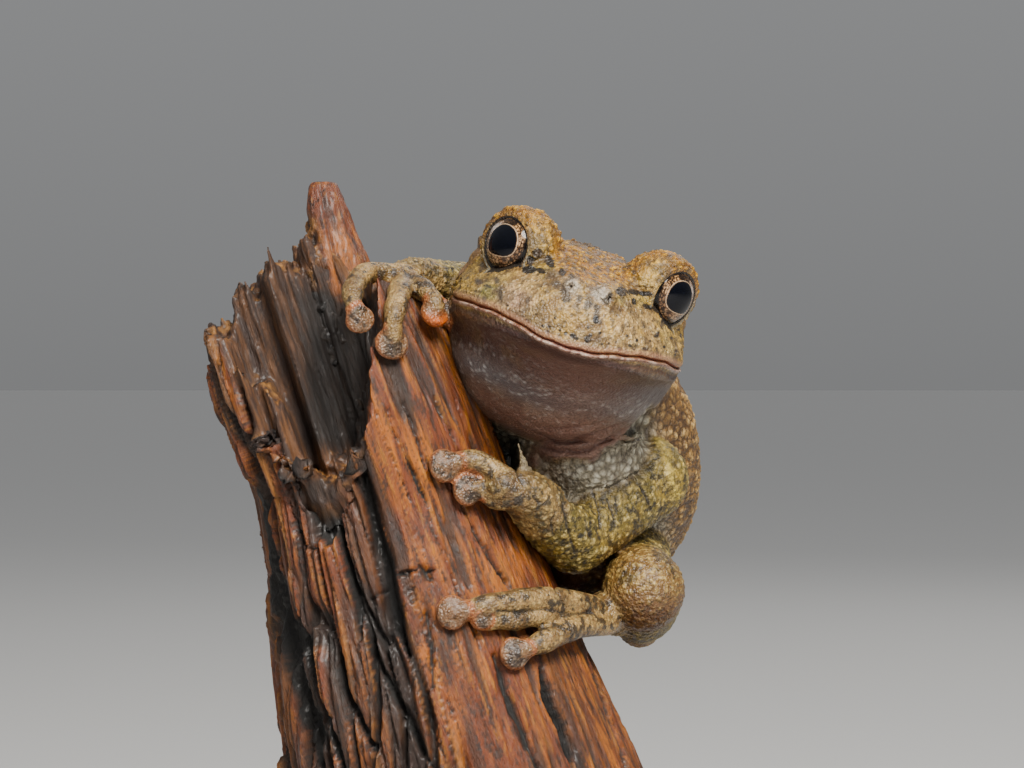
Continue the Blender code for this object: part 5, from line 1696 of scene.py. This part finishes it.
# Long cracks of the front, in the front view: half width and depth in millimetres, then the line
CRACKS = (
    (0.36, 1.5, ((358, 452), (366, 490), (377, 530), (387, 562), (391, 592), (397, 622), (408, 655))),
    (0.26, 0.9, ((322, 478), (331, 508), (338, 545), (350, 590), (356, 640))),
    (0.13, 0.5, ((385, 396), (392, 428), (408, 460), (428, 505))),
    (0.08, 0.35, ((404, 402), (418, 438), (427, 474))),
    (0.06, 0.3, ((396, 420), (402, 440), (413, 470), (421, 492))),
    (0.05, 0.3, ((376, 410), (384, 436), (399, 474), (410, 500))),
    (0.70, 1.5, ((314, 500), (318, 520), (323, 541))),
    (0.12, 0.5, ((286, 505), (292, 530), (303, 549))),
    (0.05, 0.3, ((470, 380), (482, 402), (497, 436), (512, 470))),
    (0.05, 0.3, ((455, 400), (470, 436), (488, 480))),
    (0.05, 0.3, ((430, 520), (444, 556), (462, 600), (480, 640))),
    (0.05, 0.3, ((412, 590), (424, 630), (440, 680), (458, 730))),
    (0.12, 0.5, ((436, 396), (446, 420), (458, 446), (464, 470))),
    (0.30, 0.8, ((493, 396), (505, 428), (520, 462), (540, 498))),
    (0.10, 0.5, ((452, 490), (466, 512), (478, 536), (493, 562), (506, 582), (514, 600))),
    (0.09, 0.5, ((390, 577), (402, 573), (415, 570), (427, 572), (444, 567))),
    (0.22, 0.4, ((421, 566), (426, 574), (431, 580))),
    (0.09, 0.5, ((361, 601), (372, 597), (383, 590))),
    (0.28, 1.2, ((541, 668), (550, 697), (563, 725), (575, 768))),
    (0.30, 0.5, ((496, 655), (507, 695), (524, 732), (538, 768))),
    (0.26, 0.9, ((368, 640), (380, 672), (399, 706), (420, 744), (432, 768))),
    (0.08, 0.4, ((430, 686), (427, 700), (423, 716), (436, 738), (446, 760))),
    (0.28, 1.1, ((287, 612), (296, 646), (311, 688), (329, 726), (343, 768))),
    (0.20, 0.8, ((336, 648), (342, 688), (359, 726), (372, 756))),
    (0.50, 1.6, ((244, 484), (258, 545), (270, 600), (281, 650), (300, 720), (312, 768))),
    (0.07, 0.4, ((262, 501), (268, 496), (278, 498), (285, 506))),
    (0.09, 0.4, ((302, 549), (308, 550), (314, 546), (330, 544))),
    (0.12, 0.4, ((425, 600), (431, 640), (433, 690))),
    (0.16, 0.5, ((590, 652), (602, 690), (618, 735), (628, 768))),
)
# The line in the front view that parts the splintered wood at the left from the smoother plank
PLANK_EDGE = ((330, 380), (362, 468), (380, 540), (392, 597), (412, 650), (440, 710), (468, 768))


def wood_fields(points):
    """What the wood is like at each point: how deep inside the break, how splintered, how cracked."""
    middle, radius = branch_at(points[:, 2])
    turn = np.arctan2(points[:, 1] - BRANCH_DEPTH, points[:, 0] - middle)
    far = np.hypot(points[:, 1] - BRANCH_DEPTH, points[:, 0] - middle)
    inside = step(radius - far, 0.25, 0.8)
    across, down = front_view(points)
    front = step(points[:, 1], BRANCH_DEPTH + 1.0, BRANCH_DEPTH - 2.0)
    edge = np.interp(down, [p[1] for p in PLANK_EDGE], [p[0] for p in PLANK_EDGE])
    left_share = step(across - edge, 14.0, -10.0)
    rough = left_share * front + 0.75 * (1 - front)
    crack = np.zeros(len(points))
    ragged = 0.12 * noise(points * (1.6, 1.6, 0.7), 211) + 0.05 * noise(points * 5.0, 212)
    for half, depth, corners in CRACKS:
        d, share = near_line(across, down, corners)
        d = d * VIEW_STEP + ragged
        taper = 0.35 + 0.65 * np.minimum(1, 4 * np.minimum(share, 1 - share) + 0.2)
        crack = np.maximum(crack, depth * bell(d, 0, half * taper) * front)
    return turn, middle, radius, inside, rough, crack * (1 - inside)


def perch_mesh():
    """The branch: bark with splinters, cracks and grain, and the layered broken top."""
    sides = 360
    levels = 120
    turn = full_turn(sides)
    top = np.zeros(sides)
    for _ in range(60):
        middle, radius = branch_at(top)
        rim = np.column_stack([middle + radius * np.cos(turn), BRANCH_DEPTH + radius * np.sin(turn), top])
        found = broken_height(along_grain(rim), rim[:, 1])
        top = top * 0.7 + np.clip(found, -12, 11) * 0.3
    rings = []
    for share in np.linspace(0, 1, levels):
        z = BRANCH_FOOT + (top - BRANCH_FOOT) * share
        middle, radius = branch_at(z)
        depth = BRANCH_DEPTH + radius * np.sin(turn)
        rings.append(np.column_stack([middle + radius * np.cos(turn), depth, z]))
    rim_across = along_grain(rings[-1])
    rim_depth = rings[-1][:, 1]
    for share in np.linspace(0, 1, 150)[1:-1]:
        across = rim_across * (1 - share) - 11.0 * share
        y = rim_depth * (1 - share) + BRANCH_DEPTH * share
        fade = step(share, 0.0, 0.03)
        z = top * (1 - fade) + broken_height(across, y) * fade
        rings.append(np.column_stack([across + GRAIN_LEAN * z, y, z]))
    mesh = remeshed([loft(rings)], WOOD_VOXEL)
    points = mesh_points(mesh)
    edges = mesh_edges(mesh)
    points = relaxed(points, edges, 0.5, 2)
    across, down = front_view(points)
    curl = step(np.hypot((across - 321) / 26, (down - 490) / 26), 1.0, 0.7) * (points[:, 1] < 4)
    points = points + np.outer(0.9 * curl, (0, 1, 0))
    points = relaxed(points, edges, 0.5 * curl, 60)
    put_points(mesh, points)
    normals = mesh_normals(mesh)
    turn, middle, radius, inside, rough, crack = wood_fields(points)
    round_place = np.column_stack([np.cos(turn) * 9, np.sin(turn) * 9, points[:, 2]])
    slow = round_place * (0.22, 0.22, 0.10)
    bend = 0.42 * np.column_stack([noise(slow, 301), noise(slow, 302), 0.6 * noise(slow, 303)])
    strands = round_place * (0.66, 0.66, 0.050) + bend
    first, second, number = cells(strands, 311)
    gap = step(second - first, 0.20, 0.03)
    thin = round_place * (1.9, 1.9, 0.12) + bend * 1.6
    thin_first, thin_second, thin_number = cells(thin, 321)
    thin_gap = step(thin_second - thin_first, 0.22, 0.03)
    fibre = layered(round_place * (5.0, 5.0, 0.35) + bend * 2, 331, 3)
    bark = 1 - inside
    relief = rough * (0.9 * (number - 0.62) - 0.75 * gap) + (0.05 + 0.30 * rough) * (thin_number - 0.55)
    relief = relief - (0.04 + 0.26 * rough) * thin_gap + 0.09 * fibre
    streaks = step(layered(round_place * (1.5, 1.5, 0.10) + bend * 2, 371, 2), 0.22, 0.42)
    relief = np.minimum(relief, 0.28) - crack - 0.16 * streaks
    relief = relief * bark
    # Walls and broken ends: fibres along the grain, crumbs on top
    straight = np.column_stack([along_grain(points), points[:, 1], points[:, 2] * 0.12])
    wall = 0.12 * layered(straight * 1.6, 341, 3) + 0.14 * layered(straight * 4.5, 351, 2)
    crumbs = 0.20 * layered(points * 1.8, 361, 3) + 0.16 * layered(points * 4.0, 362, 2)
    upward = step(normals[:, 2], 0.35, 0.8)
    relief = relief + inside * (wall * (1 - upward) + crumbs * upward)
    foot = step(points[:, 2], BRANCH_FOOT + 0.05, BRANCH_FOOT + 0.8)
    relief = np.clip(relief, -1.9, 0.45) * foot
    points = points + normals * relief[:, None]
    put_points(mesh, points)
    at = {
        "inside": inside,
        "rough": rough,
        "crack": np.maximum(crack, 0),
        "gap": gap * rough,
        "thin_gap": thin_gap,
        "number": number,
        "thin_number": thin_number,
        "fibre": fibre,
        "upward": upward,
        "streaks": streaks,
        "spike": np.zeros(len(points)),
    }
    return mesh, points, at


def paint_wood(mesh, points, at):
    grain_place = np.column_stack([along_grain(points), points[:, 1], points[:, 2] * 0.1])
    grain = layered(grain_place * 2.2, 401, 3)
    lines = layered(grain_place * 7.0, 411, 2)
    patch = layered(points * (0.22, 0.22, 0.10), 421, 3)
    crumb = layered(points * 1.6, 431, 3)
    colour = between_tones((104, 50, 16), (158, 92, 38), step(grain + 0.7 * patch, -0.35, 0.45))
    colour = tinted(colour, (72, 36, 14), step(patch - 0.5 * grain, 0.0, 0.5) * 0.7)
    colour = tinted(colour, (184, 126, 66), 0.4 * step(at["fibre"] + 0.5 * lines, 0.22, 0.6))
    colour = tinted(colour, (40, 21, 10), 0.85 * step(-lines - 0.4 * grain, 0.26, 0.48))
    hair = layered(grain_place * (4.2, 4.2, 0.7) + 9, 461, 2)
    hairs = step(np.abs(hair), 0.05, 0.015) * step(patch + grain, -0.2, 0.3)
    colour = tinted(colour, (30, 16, 9), 0.8 * hairs)
    colour = tinted(colour, (176, 122, 70), 0.4 * step(at["thin_number"], 0.7, 1.0) * at["rough"])
    colour = tinted(colour, (66, 36, 18), 0.6 * step(at["number"], 0.45, 0.1) * at["rough"])
    colour = tinted(colour, (20, 12, 8), 0.93 * step(at["gap"], 0.35, 0.8))
    colour = tinted(colour, (34, 19, 11), 0.75 * at["thin_gap"] * (0.35 + 0.65 * at["rough"]))
    stain = step(layered(grain_place * (0.9, 0.9, 0.8) + 30, 441, 3), 0.30, 0.46)
    colour = tinted(colour, (24, 15, 10), 0.6 * stain)
    pits = cells(grain_place * (1.1, 1.1, 2.4), 451)
    colour = tinted(colour, (40, 22, 12), 0.7 * step(pits[0], 0.16, 0.07))
    colour = tinted(colour, (22, 13, 8), 0.8 * at["streaks"])
    colour = tinted(colour, (14, 9, 6), step(at["crack"], 0.12, 0.4))
    # Inside the break
    wall = between_tones((50, 28, 15), (104, 66, 38), step(grain + 0.6 * lines, -0.3, 0.5))
    ends = between_tones((80, 46, 22), (160, 112, 66), step(crumb, -0.3, 0.4))
    ends = tinted(ends, (30, 20, 14), step(-crumb, 0.15, 0.4) * 0.85)
    # The upward-facing broken ends are lighter than the walls: partly their own crumbly colour, partly
    # painted light from above
    broken = mix(wall, ends, at["upward"])
    across, down = front_view(points)
    colour = mix(colour, broken, at["inside"])
    # Painted shade round the foot of the spike: the broken wood and the spike's lower part there are painted
    # near black
    foot_line = 288 + 0.1 * (across - 330) + 10 * crumb
    low_spike = step(down, foot_line, foot_line + 12)
    hollow = step(across, 286, 318) * step(across, 392, 368) * step(down, 466, 436) * low_spike
    hollow = hollow * np.maximum(at["inside"], at["spike"])
    colour = tinted(colour, (16, 10, 7), 0.92 * hollow)
    # Painted shade on the spike's left side and the broken wood beside it, in crumb-shaped patches
    crumbly = bell(across, 312, 24) * bell(down, 300, 40) * step(points[:, 1], 9.0, 6.0)
    crumbly = crumbly * np.maximum(at["inside"], at["spike"]) * step(crumb, -0.25, 0.1)
    colour = tinted(colour, (28, 17, 11), 0.85 * crumbly)
    # Darker in patches on the splintered left and the back: partly the weathered wood's own tone, partly
    # painted shade on the side turned from the light
    colour = mix(colour, colour * 0.55, at["rough"] * step(patch + 0.5 * grain, -0.3, 0.3))
    colour = colour * (1 - 0.22 * at["spike"])[:, None]
    # Painted shade in the pocket pressed into the bark at the left
    pocket = step(np.hypot((across - 321) / 20, (down - 492) / 17), 1.0, 0.6) * (points[:, 1] < 5)
    colour = tinted(colour, (30, 18, 11), 0.8 * pocket)
    colour = richer(colour, 1.2, 0.001) * np.array((0.86, 0.90, 0.80))
    colour_attribute(mesh, "wood_tint", colour)
    depth = np.clip(np.maximum(at["crack"] * 2, at["gap"]) + 0.5 * at["inside"], 0, 1)
    number_attribute(mesh, "depth", depth)
    vector_attribute(mesh, "grain_place", grain_place)


def splinter_mesh():
    """The spike that stands from the broken top: a smooth face at the right, a crumbly one at the left."""
    rows = spline(SPLINTER, np.linspace(0, 1, 60))
    turn = full_turn(96)
    rings = []
    for x, y, z, width, depth in rows:
        square = 1 + 0.07 * np.cos(turn * 3 + 0.6)
        across = x + width * square * np.cos(turn)
        rings.append(np.column_stack([across, y + depth * square * np.sin(turn), np.full(96, z)]))
    mesh = remeshed([loft(rings)], 0.11)
    points = relaxed(mesh_points(mesh), mesh_edges(mesh), 0.5, 3)
    put_points(mesh, points)
    normals = mesh_normals(mesh)
    crumbly = step(points[:, 0] - (-13.3 + 0.25 * (9.5 - points[:, 2])), 0.5, -0.5)
    crumbly = np.maximum(crumbly * step(points[:, 2], 12.4, 11.0), step(points[:, 2], 5.6, 4.2))
    stretched = points * (1.0, 1.0, 0.2)
    relief = 0.10 * layered(stretched * 1.6, 501, 3) + 0.05 * layered(stretched * 5.0, 511, 2)
    relief = relief + crumbly * (0.55 * layered(points * 1.3, 521, 4) - 0.25)
    crack = bell(points[:, 0] + 12.6 + 0.20 * (points[:, 2] - 10), 0, 0.10) * (points[:, 1] < 6)
    relief = relief - 0.18 * crack
    relief = relief * step(points[:, 2], 14.2, 13.6)
    points = points + normals * relief[:, None]
    put_points(mesh, points)
    count = len(points)
    at = {
        "inside": crumbly,
        "rough": crumbly,
        "crack": 0.25 * crack,
        "gap": np.zeros(count),
        "thin_gap": np.zeros(count),
        "number": np.ones(count),
        "thin_number": np.full(count, 0.5),
        "fibre": 0.6 * layered(stretched * 4.0, 531, 2),
        "upward": np.ones(count),
        "streaks": np.zeros(count),
        "spike": np.ones(count),
    }
    return mesh, points, at


def wood_material():
    mat, tree, shader = shader_of("wet_wood")
    tint = attribute(tree, "wood_tint")
    depth = attribute(tree, "depth")
    where = attribute(tree, "grain_place")
    fibre = scaled_noise(tree, where.outputs["Vector"], 11.0, 4.0, 0.6)
    coarse = scaled_noise(tree, where.outputs["Vector"], 3.5, 3.0, 0.55)
    varied_tint(tree, shader, tint, fibre, (0.3, 0.7), (0.45, 1.35), 0.6)
    rough = math_node(tree, "ADD", math_node(tree, "MULTIPLY", coarse.outputs["Fac"], 0.4), 0.28)
    rough = math_node(tree, "ADD", rough, math_node(tree, "MULTIPLY", depth.outputs["Fac"], 0.25))
    tree.links.new(rough, shader.inputs["Roughness"])
    broad = math_node(tree, "MULTIPLY", coarse.outputs["Fac"], 0.8)
    heights = math_node(tree, "ADD", fibre.outputs["Fac"], broad)
    bumped(tree, shader, heights, 0.8, 0.00016)
    shader.inputs["Coat Weight"].default_value = 0.15
    shader.inputs["Coat Roughness"].default_value = 0.25
    return mat


# Display stand


def stand_material():
    mat, tree, shader = shader_of("dark_walnut")
    place = tree.nodes.new("ShaderNodeTexCoord").outputs["Object"]
    stretch = node(tree, "ShaderNodeMapping")
    stretch.inputs["Scale"].default_value = (30.0, 420.0, 420.0)
    tree.links.new(place, stretch.inputs["Vector"])
    rings = scaled_noise(tree, stretch.outputs[0], 1.0, 6.0, 0.6)
    pores = scaled_noise(tree, stretch.outputs[0], 5.0, 3.0, 0.6)
    ramp = tree.nodes.new("ShaderNodeValToRGB")
    ramp.color_ramp.elements[0].position = 0.35
    ramp.color_ramp.elements[0].color = (0.016, 0.009, 0.006, 1)
    ramp.color_ramp.elements[1].position = 0.68
    ramp.color_ramp.elements[1].color = (0.075, 0.038, 0.020, 1)
    link(tree, rings, "Fac", ramp, "Fac")
    link(tree, ramp, "Color", shader, "Base Color")
    rough = math_node(tree, "ADD", math_node(tree, "MULTIPLY", pores.outputs["Fac"], 0.25), 0.25)
    tree.links.new(rough, shader.inputs["Roughness"])
    bumped(tree, shader, pores.outputs["Fac"], 0.25, 0.0001)
    shader.inputs["Coat Weight"].default_value = 0.3
    shader.inputs["Coat Roughness"].default_value = 0.2
    return mat


def rod_material():
    mat, tree, shader = shader_of("brushed_rod")
    place = tree.nodes.new("ShaderNodeTexCoord").outputs["Object"]
    stretch = node(tree, "ShaderNodeMapping")
    stretch.inputs["Scale"].default_value = (300.0, 300.0, 9000.0)
    tree.links.new(place, stretch.inputs["Vector"])
    lines = scaled_noise(tree, stretch.outputs[0], 1.0, 3.0, 0.6)
    shader.inputs["Base Color"].default_value = (0.62, 0.58, 0.50, 1)
    shader.inputs["Metallic"].default_value = 1.0
    rough = math_node(tree, "ADD", math_node(tree, "MULTIPLY", lines.outputs["Fac"], 0.25), 0.2)
    tree.links.new(rough, shader.inputs["Roughness"])
    bumped(tree, shader, lines.outputs["Fac"], 0.15, 0.00003)
    return mat


def turned(name, source, rows, mat, sides=192):
    """A turned piece that stands for a CAD node: rows give the share of its radius and its height."""
    low, high = (np.array(corner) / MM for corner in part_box(source))
    centre = (low + high) / 2
    radius = (high[0] - low[0]) / 2
    turn = full_turn(sides)
    rings = []
    for inset, height in rows:
        reach = radius - inset
        z = low[2] + height if height >= 0 else high[2] + height
        x = centre[0] + reach * np.cos(turn)
        y = centre[1] + reach * np.sin(turn)
        rings.append(np.column_stack([x, y, np.full(sides, z)]))
    points, faces = loft(rings)
    mesh = mesh_from(name, points - SHIFT, faces)
    place_piece(name, mesh, mat, [source])
    mesh.set_sharp_from_angle(angle=math.radians(SHARP_ANGLE))


# Rows: how far the turned edge stands in, and its height from the foot or, below nought, from the top
BASE_ROWS = (
    (14.0, 0.0),
    (0.35, 0.0),
    (0.08, 0.12),
    (0.0, 0.35),
    (0.0, -1.30),
    (0.10, -0.95),
    (0.35, -0.80),
    (0.40, -0.70),
    (0.35, -0.55),
    (0.60, -0.30),
    (1.00, -0.09),
    (1.55, -1e-6),
    (14.0, -1e-6),
)
ROD_ROWS = ((0.15, 0.0), (0.0, 0.15), (0.0, -0.15), (0.15, -1e-6))


# Put it together

skin = skin_surface()
fields = sculpt(skin)
paint(skin, fields)
flesh = [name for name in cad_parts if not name.startswith(("eye_", "perch", "stand_"))]
place_piece("frog_skin", skin, skin_material(), flesh)
eye_mat = eye_material()
for label, side in (("eyeball_left", 1), ("eyeball_right", -1)):
    eye_piece(label, side, eye_mat)

wood = wood_material()
perch, perch_points, perch_fields = perch_mesh()
paint_wood(perch, perch_points, perch_fields)
place_piece("branch_wood", perch, wood, ["perch"])
spike, spike_points, spike_fields = splinter_mesh()
paint_wood(spike, spike_points, spike_fields)
place_piece("branch_splinter", spike, wood, ["perch"])

turned("turned_base", "stand_base", BASE_ROWS, stand_material(), 256)
metal = rod_material()
turned("turned_rod_1", "stand_rod_1", ROD_ROWS, metal, 96)
turned("turned_rod_2", "stand_rod_2", ROD_ROWS, metal, 96)

# Floor, light and camera


def floor():
    mesh = bpy.data.meshes.new("floor")
    size = 20.0
    corners = [(-size, -size, 0), (size, -size, 0), (size, size, 0), (-size, size, 0)]
    mesh.from_pydata(corners, [], [(0, 1, 2, 3)])
    mat, _, shader = shader_of("pale_floor")
    shader.inputs["Base Color"].default_value = (0.52, 0.515, 0.50, 1)
    shader.inputs["Roughness"].default_value = 0.8
    mesh.materials.append(mat)
    ob = in_scene("floor", mesh)


def area_light(name, place, target, size, power, colour):
    data = bpy.data.lights.new(name, "AREA")
    data.shape = "DISK"
    data.size = size
    data.energy = power
    data.color = colour
    ob = in_scene(name, data)
    ob.location = place
    ob.rotation_euler = (Vector(target) - Vector(place)).to_track_quat("-Z", "Y").to_euler()
    return ob


floor()
middle = Vector(SHIFT) * MM
area_light("key", (0.075, -0.235, 0.250), middle, 0.15, 2.6, (1.0, 0.965, 0.91))
fill = area_light("fill", (-0.30, -0.34, 0.12), middle, 0.30, 0.45, (0.93, 0.96, 1.0))
fill.visible_glossy = False
area_light("rim", (0.14, 0.34, 0.30), middle, 0.20, 0.3, (1.0, 0.98, 0.95))
world = bpy.data.worlds.new("studio")
world.use_nodes = True
sky = world.node_tree
ways = sky.nodes.new("ShaderNodeTexCoord")
split = sky.nodes.new("ShaderNodeSeparateXYZ")
sky.links.new(ways.outputs["Generated"], split.inputs[0])
shade = sky.nodes.new("ShaderNodeValToRGB")
shade.color_ramp.elements[0].position = 0.0
shade.color_ramp.elements[0].color = (0.262, 0.265, 0.268, 1)
shade.color_ramp.elements[1].position = 0.85
shade.color_ramp.elements[1].color = (0.62, 0.63, 0.65, 1)
sky.links.new(split.outputs["Z"], shade.inputs["Fac"])
sky.links.new(shade.outputs["Color"], sky.nodes["Background"].inputs["Color"])
sky.nodes["Background"].inputs["Strength"].default_value = 0.8
bpy.context.scene.world = world


camera_data = bpy.data.cameras.new("camera")
camera_data.lens = 100
camera_data.sensor_width = 36
camera_data.clip_start = 0.005
camera = in_scene("camera", camera_data)
camera.location = (SHIFT - (0, CAMERA_BACK, 0)) * MM
camera.rotation_euler = (math.radians(90), 0, 0)
bpy.context.scene.camera = camera
